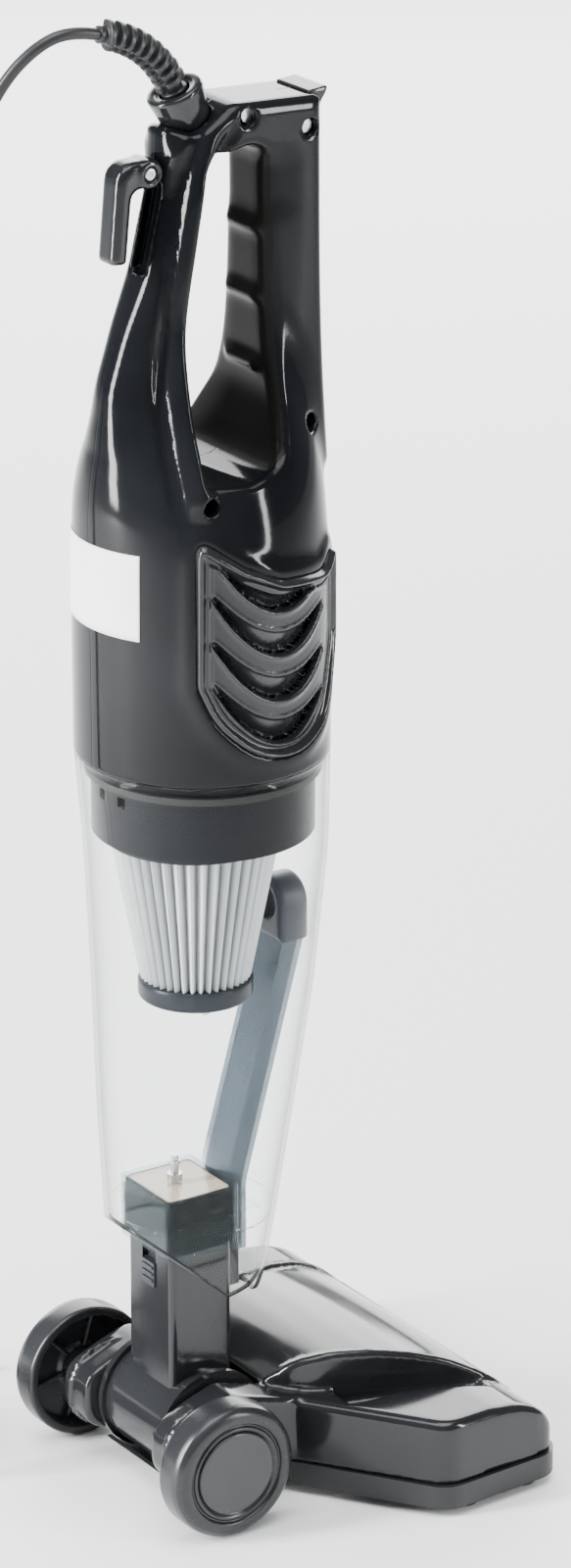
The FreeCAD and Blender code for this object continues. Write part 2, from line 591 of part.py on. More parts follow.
def make_cup():
    nodes = {}
    outer = cup_body(0, CUP_TOP)
    inner = cup_body(CUP_WALL, CUP_TOP)
    shell = outer.cut(inner)
    # the slanted mouth, with the long lip at the front
    mouth = side_prism(
        [
            (-40.0, 137.0, 0),
            (22.0, 93.0, 3.0),
            (40.0, 97.0, 4.0),
            (51.0, 103.0, 3.0),
            (53.0, 82.0, 0),
            (90.0, 82.0, 0),
            (90.0, 20.0, 0),
            (-40.0, 20.0, 0),
        ],
        -80,
        80,
    )
    shell = shell.cut(mouth)
    lip_sides = block(-80, -15, 44, 90, 60, 103).fuse(block(15, 80, 44, 90, 60, 103))
    shell = shell.cut(lip_sides)
    floor = cup_body(CUP_WALL - 0.6, FLOOR_Z + FLOOR_T, FLOOR_Z)
    socket_half = NECK_W / 2 + GAP + SOCKET_WALL
    socket_f0 = NECK_F0 - GAP - SOCKET_WALL
    socket_f1 = NECK_F1 + GAP + SOCKET_WALL
    duct_f0 = socket_f1 - 0.3
    duct_f1 = duct_f0 + DUCT_D
    floor = floor.cut(rounded_box(socket_half, socket_f0, socket_f1, FLOOR_Z - 1, FLOOR_Z + FLOOR_T + 1, 3.0))
    floor = floor.cut(block(-DUCT_W / 2, DUCT_W / 2, socket_f1 - 3, duct_f1, FLOOR_Z - 1, FLOOR_Z + FLOOR_T + 1))
    nodes["dust_cup"] = shell.fuse(floor).removeSplitter()

    socket = rounded_box(socket_half, socket_f0, socket_f1, SOCKET_BOTTOM, NECK_TOP + 2.6, 3.0)
    socket_bore = rounded_box(NECK_W / 2 + GAP, NECK_F0 - GAP, NECK_F1 + GAP, SOCKET_BOTTOM - 1, NECK_TOP + 1.1, 2.0)
    half = DUCT_W / 2
    duct = side_prism(
        [
            (duct_f0, 103.0, 0),
            (duct_f1, 103.0, 0),
            (duct_f1, DUCT_BEND_Z, 20.0),
            (DUCT_TOP_F + DUCT_D, DUCT_TOP_Z, 0),
            (DUCT_TOP_F, DUCT_TOP_Z, 0),
            (duct_f0, DUCT_BEND_Z + 4, 20.0),
        ],
        -half,
        half,
    )
    duct_bore = side_prism(
        [
            (duct_f0 + DUCT_WALL, 102.0, 0),
            (duct_f1 - DUCT_WALL, 102.0, 0),
            (duct_f1 - DUCT_WALL, DUCT_BEND_Z, 20.0),
            (DUCT_TOP_F + DUCT_D - DUCT_WALL, DUCT_TOP_Z + 1, 0),
            (DUCT_TOP_F + DUCT_WALL, DUCT_TOP_Z + 1, 0),
            (duct_f0 + DUCT_WALL, DUCT_BEND_Z + 4, 20.0),
        ],
        -half + DUCT_WALL,
        half - DUCT_WALL,
    )
    nodes["inlet_duct"] = socket.cut(socket_bore).fuse(duct).cut(duct_bore).removeSplitter()

    hood_half = half + 1.8
    hood = side_prism(
        [
            (DUCT_TOP_F - 4.0, 240.0, 0),
            (DUCT_TOP_F + DUCT_D - 0.6, 240.0, 0),
            (DUCT_TOP_F + DUCT_D + 1.2, 268.0, 8.0),
            (DUCT_TOP_F - 4.4, 268.0, 8.0),
        ],
        -hood_half,
        hood_half,
    )
    hood = hood.common(cup_body(CUP_WALL + 0.4, 300, 200))
    hood = hood.cut(duct)
    hood = hood.cut(block(-half + 0.5, half - 0.5, DUCT_TOP_F - 1.4, DUCT_TOP_F + DUCT_D - 1.4, 240, 265.0))
    hood = hood.cut(block(-half + 2, half - 2, DUCT_TOP_F - 10, DUCT_TOP_F, 249.0, 262.0))
    nodes["duct_hood"] = hood.removeSplitter()
    pin = upright(1.6, 0, 12.4, NECK_TOP + 2.6, 150.0).fuse(upright(3.2, 0, 12.4, NECK_TOP + 2.6, 141.5))
    nodes["socket_screw"] = pin.fuse(upright(2.4, 0, 12.4, 146.0, 147.5))
    return nodes


# ---------------------------------------------------------------- hand unit
def body_solid(inset, top_cut):
    """The round motor housing that narrows into the handle."""
    wires = []
    for z, f, half_x, half_f in BODY_SECTIONS:
        a = half_f - inset
        b = half_x - inset
        if b >= a - 1e-6:
            curve = Part.Circle(at(0, f, z), FreeCAD.Vector(0, 0, 1), a)
            curve.XAxis = FreeCAD.Vector(0, 1, 0)
        else:
            curve = Part.Ellipse(at(0, f - a, z), at(b, f, z), at(0, f, z))
        wires.append(Part.Wire([curve.toShape()]))
    solid = Part.makeLoft(wires, True, False)
    return solid.common(block(-80, 80, -60, 120, CUP_TOP, top_cut))


HANDLE_OUTLINE = [
    (-24.0, 462.0, 0),
    (-19.0, 496.0, 60.0),
    (-7.0, 530.0, 60.0),
    (4.0, HANDLE_TOP - 47.0, 30.0),
    (6.5, HANDLE_TOP - 17.0, 6.0),
    (34.0, HANDLE_TOP, 12.0),
    (BAR_FRONT, HANDLE_TOP - 2.0, 2.0),
    (BAR_FRONT + 1.5, 462.0, 0),
    (50.0, 440.0, 0),
    (0.0, 440.0, 0),
]
LOOP_OUTLINE = [
    (21.5, HANDLE_TOP - 22.0, 9.0),
    (BAR_REAR, HANDLE_TOP - 18.0, 7.0),
    (BAR_REAR, 478.0, 24.0),
    (30.0, 459.0, 12.0),
    (5.0, 461.0, 4.0),
    (9.0, 495.0, 60.0),
    (17.5, 540.0, 60.0),
]
# screws in the right-hand shell: x of the head, f and z
HOUSING_SCREWS = [
    (-13.5, 42.0, HANDLE_TOP - 6.0),
    (-13.5, 70.0, HANDLE_TOP - 14.0),
    (-13.5, 66.0, 473.0),
    (-13.5, 5.0, 452.0),
]


def vent_outline(grow, z_grow=0.0):
    """The shield shape of a vent in its own flat view, as u, z and radius."""
    half = VENT_HALF + grow
    low = VENT_Z0 - grow
    high = VENT_Z1 + grow
    return [
        (-half, high, 6.0),
        (-20.0, high - 14.0, 20.0),
        (8.0, high - 19.0, 20.0),
        (half, high - 14.0, 6.0),
        (half, low + 34.0, 30.0),
        (14.0, low, 26.0),
        (-14.0, low, 26.0),
        (-half, low + 34.0, 30.0),
    ]


def vent_place(u, z, reach):
    """A point of the vent's flat view, moved out along the way the right-hand vent faces."""
    turn = math.radians(VENT_ANGLE)
    x = -math.cos(turn) * reach + math.sin(turn) * u
    f = 27.5 + math.sin(turn) * reach + math.cos(turn) * u
    return at(x, f, z)


def vent_prism(corners, near, far):
    """A flat-view outline pushed out from near to far."""
    face = Part.Face(rounded_loop(corners, lambda u, z: vent_place(u, z, near)))
    return face.extrude(vent_place(0, 0, far) - vent_place(0, 0, near))


def crescent(z):
    """One louvre slot: a moon shape that hangs by its two tips."""
    near = 20.0
    left = vent_place(-29.0, z + 14.0, near)
    right = vent_place(31.0, z + 12.0, near)
    low = Part.Arc(left, vent_place(2.0, z - 4.5, near), right).toShape()
    high = Part.Arc(right, vent_place(2.0, z + 3.5, near), left).toShape()
    face = Part.Face(Part.Wire([low, high]))
    return face.extrude(vent_place(0, 0, 80.0) - vent_place(0, 0, near))


def make_vents():
    outer = upright(VENT_OUT, 0, 27.5, VENT_Z0 - 8, VENT_Z1 + 8)
    outer = outer.cut(upright(VENT_OUT - 5.4, 0, 27.5, VENT_Z0 - 9, VENT_Z1 + 9))
    grille = outer.common(vent_prism(vent_outline(0), 10.0, 80.0))
    for k in range(4):
        grille = grille.cut(crescent(363.5 + 18.4 * k))
    return sides("vent_grille", grille)


SWITCH_Z = 401.0
PRESS_Z = 371.0
FRONT_F = 81.2


def make_housing():
    wall = HOUSING_WALL
    outer = body_solid(0, 505.0)
    outer = outer.fuse(side_prism(HANDLE_OUTLINE, -HANDLE_HALF, HANDLE_HALF))
    outer = outer.cut(side_prism(LOOP_OUTLINE, -60, 60))
    half = HANDLE_HALF - wall
    room = body_solid(wall, 452.0)
    bar = side_prism(
        [
            (BAR_REAR + wall, HANDLE_TOP - 6.0, 2),
            (BAR_FRONT - wall, HANDLE_TOP - 6.0, 2),
            (BAR_FRONT - wall, 440.0, 0),
            (BAR_REAR + wall, 440.0, 0),
        ],
        -half,
        half,
    )
    bow = side_prism(
        [
            (-17.0, 466.0, 0),
            (-4.5, 530.0, 0),
            (7.5, HANDLE_TOP - 44.0, 0),
            (9.5, HANDLE_TOP - 21.0, 0),
            (17.0, HANDLE_TOP - 21.0, 0),
            (12.0, 538.0, 0),
            (5.5, 500.0, 0),
            (1.0, 470.0, 0),
        ],
        -half + 4,
        half - 4,
    )
    top = side_prism(
        [
            (14.0, HANDLE_TOP - 16.0, 0),
            (34.0, HANDLE_TOP - 5.0, 0),
            (60.0, HANDLE_TOP - 6.0, 0),
            (60.0, HANDLE_TOP - 14.5, 0),
            (24.0, HANDLE_TOP - 18.5, 0),
        ],
        -half,
        half,
    )
    shell = outer.cut(room).cut(bar).cut(bow).cut(top)
    for name, grille_side in (("right", 1), ("left", -1)):
        hole = vent_prism(vent_outline(0.3), 30.0, 80.0)
        shell = shell.cut(hole if grille_side > 0 else mirrored(hole))
    # openings in the front for the switch and the cup release button
    shell = shell.cut(block(-8.4, 8.4, 60, 95, SWITCH_Z - 0.4, SWITCH_Z + 12.4 + SWITCH_TRAVEL))
    shell = shell.cut(block(-13.3, 13.3, 60, 95, PRESS_Z - 0.3, PRESS_Z + 16.3))
    # the hole that the cord hook's stem turns in
    shell = shell.cut(rod(HOOK_STEM_R + RUN, at(0, -20.0, HOOK_Z), at(0, HOOK_STEM_END, HOOK_Z)))
    shell = shell.cut(rod(HOOK_CLIP_R + GAP, at(0, HOOK_CLIP_F - GAP, HOOK_Z), at(0, HOOK_STEM_END, HOOK_Z)))
    # the seat of the cord gland
    u = FreeCAD.Vector(0, -GLAND_AXIS[0], GLAND_AXIS[1])
    foot = at(0, *GLAND_BASE)
    shell = shell.cut(rod(8.0, foot - u * 12.0, foot + u * 10.0))
    shell = shell.cut(rod(11.4, foot, foot + u * 10.0))
    nodes = {}
    for name, side in (("right", -1), ("left", 1)):
        x0, x1 = sorted((0.0, side * 80.0))
        part = shell.common(block(x0, x1, -60, 120, 320, HANDLE_TOP + 21.0))
        for x, f, z in HOUSING_SCREWS:
            post = across(5.4, 0, side * 60.0, f, z)
            part = part.fuse(post.common(outer))
            if side < 0:
                part = part.cut(across(4.0, x + 2.0, -60, f, z))
                part = part.cut(across(1.6, 1, -20, f, z))
            else:
                part = part.cut(across(1.4, -1, 12.0, f, z))
        nodes["housing_" + name] = part.removeSplitter()
    nodes["housing_screws"] = Part.makeCompound([screw(x, f, z, 24.0) for x, f, z in HOUSING_SCREWS])
    trim = side_prism(
        [
            (BAR_FRONT + 0.1, HANDLE_TOP - 2.5, 0),
            (BAR_FRONT + 0.9, 508.0, 0),
            (BAR_FRONT + 2.6, 508.0, 0),
            (BAR_FRONT + 2.0, HANDLE_TOP - 7.0, 3.0),
            (BAR_FRONT + 6.8, HANDLE_TOP - 0.6, 1.0),
            (BAR_FRONT + 6.8, HANDLE_TOP + 1.4, 0),
            (BAR_FRONT - 4.0, HANDLE_TOP + 1.0, 0),
            (BAR_FRONT - 4.0, HANDLE_TOP - 1.0, 0),
        ],
        -12.0,
        12.0,
    )
    nodes["handle_front_trim"] = trim.cut(outer)
    label = upright(54.45, 0, 27.5, 392.0, 432.0).cut(upright(54.05, 0, 27.5, 391.0, 433.0))
    cutter = block(-35.0, 24.0, -40, 10, 392.0, 432.0)
    nodes["rating_label"] = label.common(cutter).cut(outer)
    return nodes


def make_collar():
    nodes = {}
    wall = ring(COLLAR_R, COLLAR_R - COLLAR_WALL, COLLAR_F, COLLAR_BOTTOM, CUP_TOP + 3.0)
    flange_r = BODY_SECTIONS[0][2] - HOUSING_WALL - FLANGE_CLEARANCE
    flange = ring(flange_r, COLLAR_R - COLLAR_WALL, COLLAR_F, CUP_TOP + 0.2, CUP_TOP + 3.0)
    plate = upright(COLLAR_R - 1.0, 0, COLLAR_F, COLLAR_BOTTOM, COLLAR_BOTTOM + 2.0)
    plate = plate.cut(upright(30.0, 0, FILTER_F, COLLAR_BOTTOM - 1, COLLAR_BOTTOM + 3))
    collar = wall.fuse(flange).fuse(plate)
    for angle in (-96.0, -79.0):
        a = math.radians(angle)
        f = COLLAR_F + COLLAR_R * math.sin(a)
        x = -COLLAR_R * math.cos(a)
        collar = collar.cut(block(x - 2.2, x + 2.2, f - 5, f + 5, 317.0, 321.5))
    nodes["motor_collar"] = collar.removeSplitter()
    nodes["cup_seal"] = ring(COLLAR_R + 2.7, COLLAR_R + SEAT, COLLAR_F, 324.0, 327.0)

    mount_r = COLLAR_R - COLLAR_WALL - MOUNT_CLEARANCE
    mount = upright(mount_r, 0, COLLAR_F, 334.0, 337.0).cut(upright(7.0, 0, COLLAR_F, 333.0, 338.0))
    for k in range(6):
        a = math.radians(60.0 * k)
        hole = upright(6.5, 26.0 * math.cos(a), COLLAR_F + 26.0 * math.sin(a), 333.0, 338.0)
        mount = mount.cut(hole)
    nodes["motor_mount_plate"] = mount
    front_ring = ring(MOTOR_R - 1, MOTOR_R - 9, COLLAR_F, 337.0, MOTOR_Z0)
    can = upright(MOTOR_R, 0, COLLAR_F, MOTOR_Z0, MOTOR_Z1)
    can = can.cut(upright(MOTOR_R - 2.0, 0, COLLAR_F, MOTOR_Z0 + 12.0, MOTOR_Z1 - 3.0))
    can = can.cut(upright(SHAFT_R + RUN, 0, COLLAR_F, MOTOR_Z0 - 1, MOTOR_Z0 + 13.0))
    nodes["motor_can"] = can
    core = ring(MOTOR_R - 2.3, 12.0, COLLAR_F, MOTOR_Z0 + 12.0, MOTOR_Z0 + 46.0)
    nodes["motor_stator"] = core
    rear_ring = ring(MOTOR_R - 4, MOTOR_R - 16, COLLAR_F, MOTOR_Z1, MOTOR_Z1 + 6.0)
    nodes["motor_mount_rings"] = Part.makeCompound([front_ring, rear_ring])
    bridge = ring(34.0, 10.0, COLLAR_F, MOTOR_Z1 + 6.0, MOTOR_Z1 + 8.5)
    arms = block(-48.6, 48.6, COLLAR_F - 6, COLLAR_F + 6, MOTOR_Z1 + 6.0, MOTOR_Z1 + 8.5)
    arms = arms.cut(upright(20.0, 0, COLLAR_F, MOTOR_Z1, MOTOR_Z1 + 20))
    nodes["motor_rear_bridge"] = bridge.fuse(arms).common(body_solid(HOUSING_WALL + 0.0, 452.0)).removeSplitter()

    shaft = upright(SHAFT_R, 0, COLLAR_F, 303.0, MOTOR_Z0 + 44.0)
    rotor = upright(11.0, 0, COLLAR_F, MOTOR_Z0 + 14.0, MOTOR_Z0 + 44.0).fuse(shaft)
    nodes["motor_rotor"] = rotor
    fan = ring(FAN_R, SHAFT_R + 0.0, COLLAR_F, 318.0, 320.0)
    fan = fan.fuse(ring(9.0, SHAFT_R, COLLAR_F, 306.0, 320.0))
    for k in range(9):
        blade = block(8.0, FAN_R - 1.0, COLLAR_F - 0.8, COLLAR_F + 0.8, 307.0, 318.5)
        blade.rotate(at(0, COLLAR_F, 0), FreeCAD.Vector(0, 0, 1), 40.0 * k)
        fan = fan.fuse(blade)
    nodes["fan_impeller"] = fan.removeSplitter()
    nodes["fan_nut"] = upright(5.0, 0, COLLAR_F, 302.6, 306.0).cut(upright(SHAFT_R, 0, COLLAR_F, 302.9, 306.5))
    return nodes


def pleated_wire(radius, depth, z):
    """A star-shaped wire: the folds of the filter at one height."""
    points = []
    for k in range(PLEATS):
        for step, r in ((0, radius), (1, radius - depth)):
            a = 2 * math.pi * (k + 0.5 * step) / PLEATS
            points.append(at(r * math.cos(a), FILTER_F + r * math.sin(a), z))
    return Part.makePolygon(points + [points[0]])


def make_filter():
    low = FILTER_BOTTOM + FILTER_RING_H
    high = COLLAR_BOTTOM - 3.5
    outer = Part.makeLoft(
        [pleated_wire(FILTER_BOTTOM_R, PLEAT_DEPTH, low), pleated_wire(FILTER_TOP_R, PLEAT_DEPTH, high)], True, True
    )
    inner = Part.makeLoft(
        [
            pleated_wire(FILTER_BOTTOM_R - 1.2, PLEAT_DEPTH, low - 0.0),
            pleated_wire(FILTER_TOP_R - 1.2, PLEAT_DEPTH, high + 0.0),
        ],
        True,
        True,
    )
    nodes = {"filter_pleats": outer.cut(inner)}
    flange = ring(FILTER_TOP_R + 2.0, FILTER_TOP_R - 8.0, FILTER_F, high, COLLAR_BOTTOM - 0.2)
    neck = ring(29.6, 27.4, FILTER_F, COLLAR_BOTTOM - 0.5, COLLAR_BOTTOM + 4.0)
    nodes["filter_top_frame"] = flange.fuse(neck).removeSplitter()
    cap = upright(FILTER_BOTTOM_R + 1.0, 0, FILTER_F, FILTER_BOTTOM, low)
    cap = cap.cut(upright(FILTER_BOTTOM_R - 4.5, 0, FILTER_F, FILTER_BOTTOM + 2.0, low + 1))
    nodes["filter_bottom_cap"] = cap
    tab = block(-9.0, 9.0, FILTER_F - 1.2, FILTER_F + 1.2, FILTER_BOTTOM - 7.0, FILTER_BOTTOM)
    tab = tab.cut(block(-6.5, 6.5, FILTER_F - 3, FILTER_F + 3, FILTER_BOTTOM - 5.0, FILTER_BOTTOM - 1.5))
    nodes["filter_pull_tab"] = tab
    return nodes


def make_controls():
    nodes = {}
    slider = block(-8.0, 8.0, 77.5, 84.5, SWITCH_Z, SWITCH_Z + 12.0)
    for k in range(4):
        slider = slider.fuse(block(-7.0, 7.0, 84.4, 85.3, SWITCH_Z + 1.8 + 2.4 * k, SWITCH_Z + 2.8 + 2.4 * k))
    slider = slider.fuse(block(-3.0, 3.0, 73.0, 77.6, SWITCH_Z + 3.5, SWITCH_Z + 8.5))
    nodes["power_switch_slider"] = slider
    body = block(-9.0, 9.0, 63.0, 75.5, 392.0, 424.0)
    body = body.cut(block(-3.4, 3.4, 72.6, 76, SWITCH_Z + 3.0, SWITCH_Z + 9.0 + SWITCH_TRAVEL))
    nodes["switch_body"] = body
    button = block(-13.0, 13.0, 72.0, 84.6, PRESS_Z, PRESS_Z + 16.0)
    button = button.fuse(block(-10.0, 10.0, 84.5, 86.0, PRESS_Z + 2.5, PRESS_Z + 13.5))
    button = button.fuse(block(-15.0, 15.0, 72.0, 73.6, PRESS_Z - 1.2, PRESS_Z + 17.2))
    nodes["cup_release_button"] = button
    stop = block(-15.5, 15.5, 60.0, 62.0, PRESS_Z - 2.0, PRESS_Z + 18.0)
    for side in (-1, 1):
        x0, x1 = sorted((side * 15.4, side * 17.4))
        stop = stop.fuse(block(x0, x1, 60.0, 90.0, PRESS_Z - 2.0, PRESS_Z + 18.0))
    nodes["button_bracket"] = stop.common(body_solid(HOUSING_WALL + GAP, 452.0))
    pressed = 72.0 - PRESS_TRAVEL - 0.2
    spring = rod(4.0, at(0, 62.0, PRESS_Z + 8), at(0, pressed, PRESS_Z + 8))
    nodes["cup_button_spring"] = spring.cut(rod(3.2, at(0, 61.0, PRESS_Z + 8), at(0, 73.0, PRESS_Z + 8)))
    return nodes


def make_hook():
    arm = side_prism(
        [
            (HOOK_ROOT_F, HOOK_Z + 6.0, 2.0),
            (-15.5, HOOK_Z + 6.0, 9.0),
            (-18.5, HOOK_Z - 36.0, 2.5),
            (-10.5, HOOK_Z - 36.5, 2.5),
            (-7.5, HOOK_Z - 6.0, 5.0),
            (HOOK_ROOT_F, HOOK_Z - 6.0, 2.0),
        ],
        -7.0,
        7.0,
    )
    stem = rod(HOOK_STEM_R, at(0, HOOK_ROOT_F - 1.0, HOOK_Z), at(0, HOOK_STEM_END - GAP, HOOK_Z))
    arm = arm.common(rod(9.2, at(0, -40.0, HOOK_Z), at(0, HOOK_ROOT_F + 1.0, HOOK_Z)).fuse(
        block(-10, 10, -40, -5.0, 530, 600)))
    clip = rod(HOOK_CLIP_R, at(0, HOOK_CLIP_F, HOOK_Z), at(0, HOOK_CLIP_F + 1.2, HOOK_Z))
    clip = clip.cut(rod(HOOK_STEM_R + SEAT, at(0, 0, HOOK_Z), at(0, 30, HOOK_Z)))
    return {"cord_hook": arm.fuse(stem).removeSplitter(), "hook_clip": clip}


# ---------------------------------------------------------------- cord
def route_wire(route):
    """Straight runs joined by tangent arcs, each as large as its two runs allow."""
    points = [at(*p) for p in route]
    edges = []
    start = points[0]
    radii = []
    for i in range(1, len(points) - 1):
        a = points[i - 1] - points[i]
        b = points[i + 1] - points[i]
        shorter = min(a.Length, b.Length)
        u = FreeCAD.Vector(a).normalize()
        v = FreeCAD.Vector(b).normalize()
        half_turn = 0.5 * (math.pi - u.getAngle(v))
        reach = 0.45 * shorter
        radius = reach / math.tan(half_turn)
        radii.append(radius)
        p = points[i] + u * reach
        q = points[i] + v * reach
        middle = FreeCAD.Vector(u + v).normalize()
        top = points[i] + middle * (radius / math.cos(half_turn) - radius)
        edges.append(Part.LineSegment(start, p).toShape())
        edges.append(Part.Arc(p, top, q).toShape())
        start = q
    edges.append(Part.LineSegment(start, points[-1]).toShape())
    return Part.Wire(edges), radii


def cord_tube(name, route):
    wire, radii = route_wire(route)
    first = wire.Edges[0]
    start = first.valueAt(first.FirstParameter)
    tangent = first.tangentAt(first.FirstParameter)
    section = Part.Wire([Part.Circle(start, tangent, CORD_D / 2).toShape()])
    tube = wire.makePipeShell([section], True, True)
    expected = math.pi * CORD_D ** 2 / 4 * wire.Length
    print(name, "length %.1f mm" % wire.Length, "volume ratio %.4f" % (tube.Volume / expected))
    print(name, "radii", [round(r, 1) for r in radii])
    return tube, wire.Length


def make_cord():
    nodes = {}
    u = FreeCAD.Vector(0, -GLAND_AXIS[0], GLAND_AXIS[1])
    foot = at(0, *GLAND_BASE)
    mouth = foot + u * GLAND_L
    gland = Part.makeCone(10.0, 12.0, GLAND_L, foot, u).fuse(rod(7.6, foot - u * 9.0, foot + u * 0.1))
    gland = gland.cut(rod(6.4, foot + u * 3.0, foot + u * (GLAND_L + 1)))
    gland = gland.cut(rod(CORD_D / 2 + 0.4, foot - u * 10.0, foot + u * 4.0))
    nodes["cord_gland"] = gland
    tip = at(0, *BOOT_TIP)
    root = foot + u * 3.0
    bend_start = mouth + u * 1.0
    chord = tip - bend_start
    away = (chord - u * chord.dot(u)).normalize()
    side = chord.dot(away)
    along = chord.dot(u)
    radius = (side * side + along * along) / (2 * side)
    centre = bend_start + away * radius
    turn = 2 * math.atan2(side, along)
    def on_bend(share):
        a = turn * share
        point = centre - away * radius * math.cos(a) + u * radius * math.sin(a)
        return point, (u * math.cos(a) + away * math.sin(a)).normalize()

    path = Part.Wire(
        [
            Part.LineSegment(root, bend_start).toShape(),
            Part.Arc(bend_start, on_bend(0.5)[0], tip).toShape(),
        ]
    )
    section = Part.Wire([Part.Circle(root, u, BOOT_R).toShape()])
    core = path.makePipeShell([section], True, True)
    core = core.fuse(rod(BOOT_R + 1.6, root + u * 1.0, bend_start - u * 1.0))
    for k in range(BOOT_RIBS):
        point, along_bend = on_bend((k + 0.7) / BOOT_RIBS)
        core = core.fuse(rod(BOOT_RIB_R, point - along_bend * 1.1, point + along_bend * 1.1))
    core = core.cut(rod(CORD_D / 2 + 0.2, foot, bend_start))
    nodes["cord_boot"] = core.removeSplitter()
    lead = rod(CORD_D / 2, foot - u * 9.0, bend_start - u * 1.0)
    nodes["inner_lead"] = lead

    tube, main_length = cord_tube("power_cord", CORD_ROUTE)
    tail, tail_length = cord_tube("cord_tail", TAIL_ROUTE)
    nodes["power_cord"] = tube
    nodes["cord_tail"] = tail
    wound = CORD_LENGTH - main_length - tail_length
    turns = wound / (2 * math.pi * COIL_MEAN_R)
    print("coil holds %.0f mm in %.1f turns" % (wound, turns))
    half = COIL_TURNS_WIDE * CORD_D / 2
    coil = rod(COIL_MEAN_R + half, at(COIL_X, COIL_F, 0), at(COIL_X, COIL_F, COIL_TURNS_HIGH * CORD_D))
    coil = coil.cut(rod(COIL_MEAN_R - half, at(COIL_X, COIL_F, -1), at(COIL_X, COIL_F, 60)))
    nodes["cord_coil"] = coil
    x, f, z = TAIL_ROUTE[-1]
    neck = rod(5.0, at(x, f, z), at(x, f + 12.0, z))
    body = block(x - PLUG_W / 2, x + PLUG_W / 2, f + 12.0, f + 12.0 + PLUG_L, z - PLUG_T / 2, z + PLUG_T / 2)
    upright_edges = [e for e in body.Edges if abs(e.Length - PLUG_T) < 0.01]
    body = body.makeFillet(6.0, upright_edges)
    nodes["plug_body"] = body.fuse(neck)
    pins = []
    for side_sign in (-1, 1):
        pins.append(rod(2.4, at(x + side_sign * 9.5, f + 12.0 + PLUG_L, z), at(x + side_sign * 9.5, f + 31.0 + PLUG_L, z)))
    nodes["plug_pins"] = Part.makeCompound(pins)
    return nodes


def main():
    os.makedirs("parts", exist_ok=True)
    nodes = {}
    for make in (
        make_head,
        make_wheels,
        make_neck,
        make_cup,
        make_vents,
        make_housing,
        make_collar,
        make_filter,
        make_controls,
        make_hook,
        make_cord,
    ):
        nodes.update(make())
    for name, shape in nodes.items():
        shape.exportStep("parts/%s.step" % name)
        print("%-22s solids %d valid %s volume %.0f" % (name, len(shape.Solids), shape.isValid(), shape.Volume))


main()
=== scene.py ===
import bpy
import json
import math
import numpy as np
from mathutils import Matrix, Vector


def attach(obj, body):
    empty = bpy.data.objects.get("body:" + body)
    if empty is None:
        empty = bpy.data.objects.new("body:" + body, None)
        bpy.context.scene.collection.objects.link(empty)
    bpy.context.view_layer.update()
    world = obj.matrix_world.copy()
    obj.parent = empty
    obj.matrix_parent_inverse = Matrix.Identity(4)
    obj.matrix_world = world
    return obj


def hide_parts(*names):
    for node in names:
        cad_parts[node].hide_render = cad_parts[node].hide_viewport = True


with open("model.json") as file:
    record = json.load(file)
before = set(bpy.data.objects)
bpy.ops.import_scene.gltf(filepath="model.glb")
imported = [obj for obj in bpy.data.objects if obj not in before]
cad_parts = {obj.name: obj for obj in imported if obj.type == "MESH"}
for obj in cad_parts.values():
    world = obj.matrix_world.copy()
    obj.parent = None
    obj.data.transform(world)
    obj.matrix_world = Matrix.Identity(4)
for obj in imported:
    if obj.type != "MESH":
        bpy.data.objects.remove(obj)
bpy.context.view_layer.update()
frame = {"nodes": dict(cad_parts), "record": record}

# all shapes below are in millimetres: x sideways, f forward of the wheel axle, z up
AXLE_Y = 59.0
AXLE_Z = 30.0
PIVOT_F = 14.75
MOUTH_TOP = 333.0  # where the cup ends and the motor housing begins
FILTER_F = 23.5
HOOK_F, HOOK_Z = 0.6, 583.0
GLAND_F, GLAND_Z = 22.0, 600.5
GLAND_WAY = (-0.42, 0.9075)  # the gland's direction in f and z
CORD_END = (-19.8, 641.7)  # f and z of the strain relief's tip
CORD_RADIUS = 2.5


def at(x, f, z):
    """A point in metres from its sideways place, distance forward of the axle and height, in millimetres."""
    return Vector((x / 1000, (AXLE_Y - f) / 1000, z / 1000))


def add_object(name, data):
    obj = bpy.data.objects.new(name, data)
    bpy.context.scene.collection.objects.link(obj)
    return obj


def aimed(direction):
    """The rotation that turns a camera or a light to look along a direction."""
    return Vector(direction).to_track_quat("-Z", "Y").to_euler()


# ------------------------------------------------------------------ camera, lights, floor
CAMERA_PLACE = (-2.0132, 1.3277, 1.2126)
CAMERA_WAY = (0.7799, -0.5183, -0.3509)
FLOOR_HALF = 14.0
FLOOR_DROP = 0.0002  # keeps the stage's floor clear of the wheels


def make_camera():
    data = bpy.data.cameras.new("camera")
    camera = add_object("camera", data)
    data.sensor_width = 36.0
    data.lens = 140.4
    data.clip_end = 60.0
    camera.location = CAMERA_PLACE
    camera.rotation_euler = aimed(CAMERA_WAY)
    bpy.context.scene.camera = camera


def area_light(name, place, target, size, power):
    data = bpy.data.lights.new(name, "AREA")
    data.shape = "RECTANGLE"
    data.size, data.size_y = size
    data.energy = power
    light = add_object(name, data)
    light.location = place
    light.rotation_euler = aimed(Vector(target) - Vector(place))


def sun_light(name, tilt, energy, angle):
    data = bpy.data.lights.new(name, "SUN")
    data.energy = energy
    data.angle = math.radians(angle)
    add_object(name, data).rotation_euler = [math.radians(a) for a in tilt]


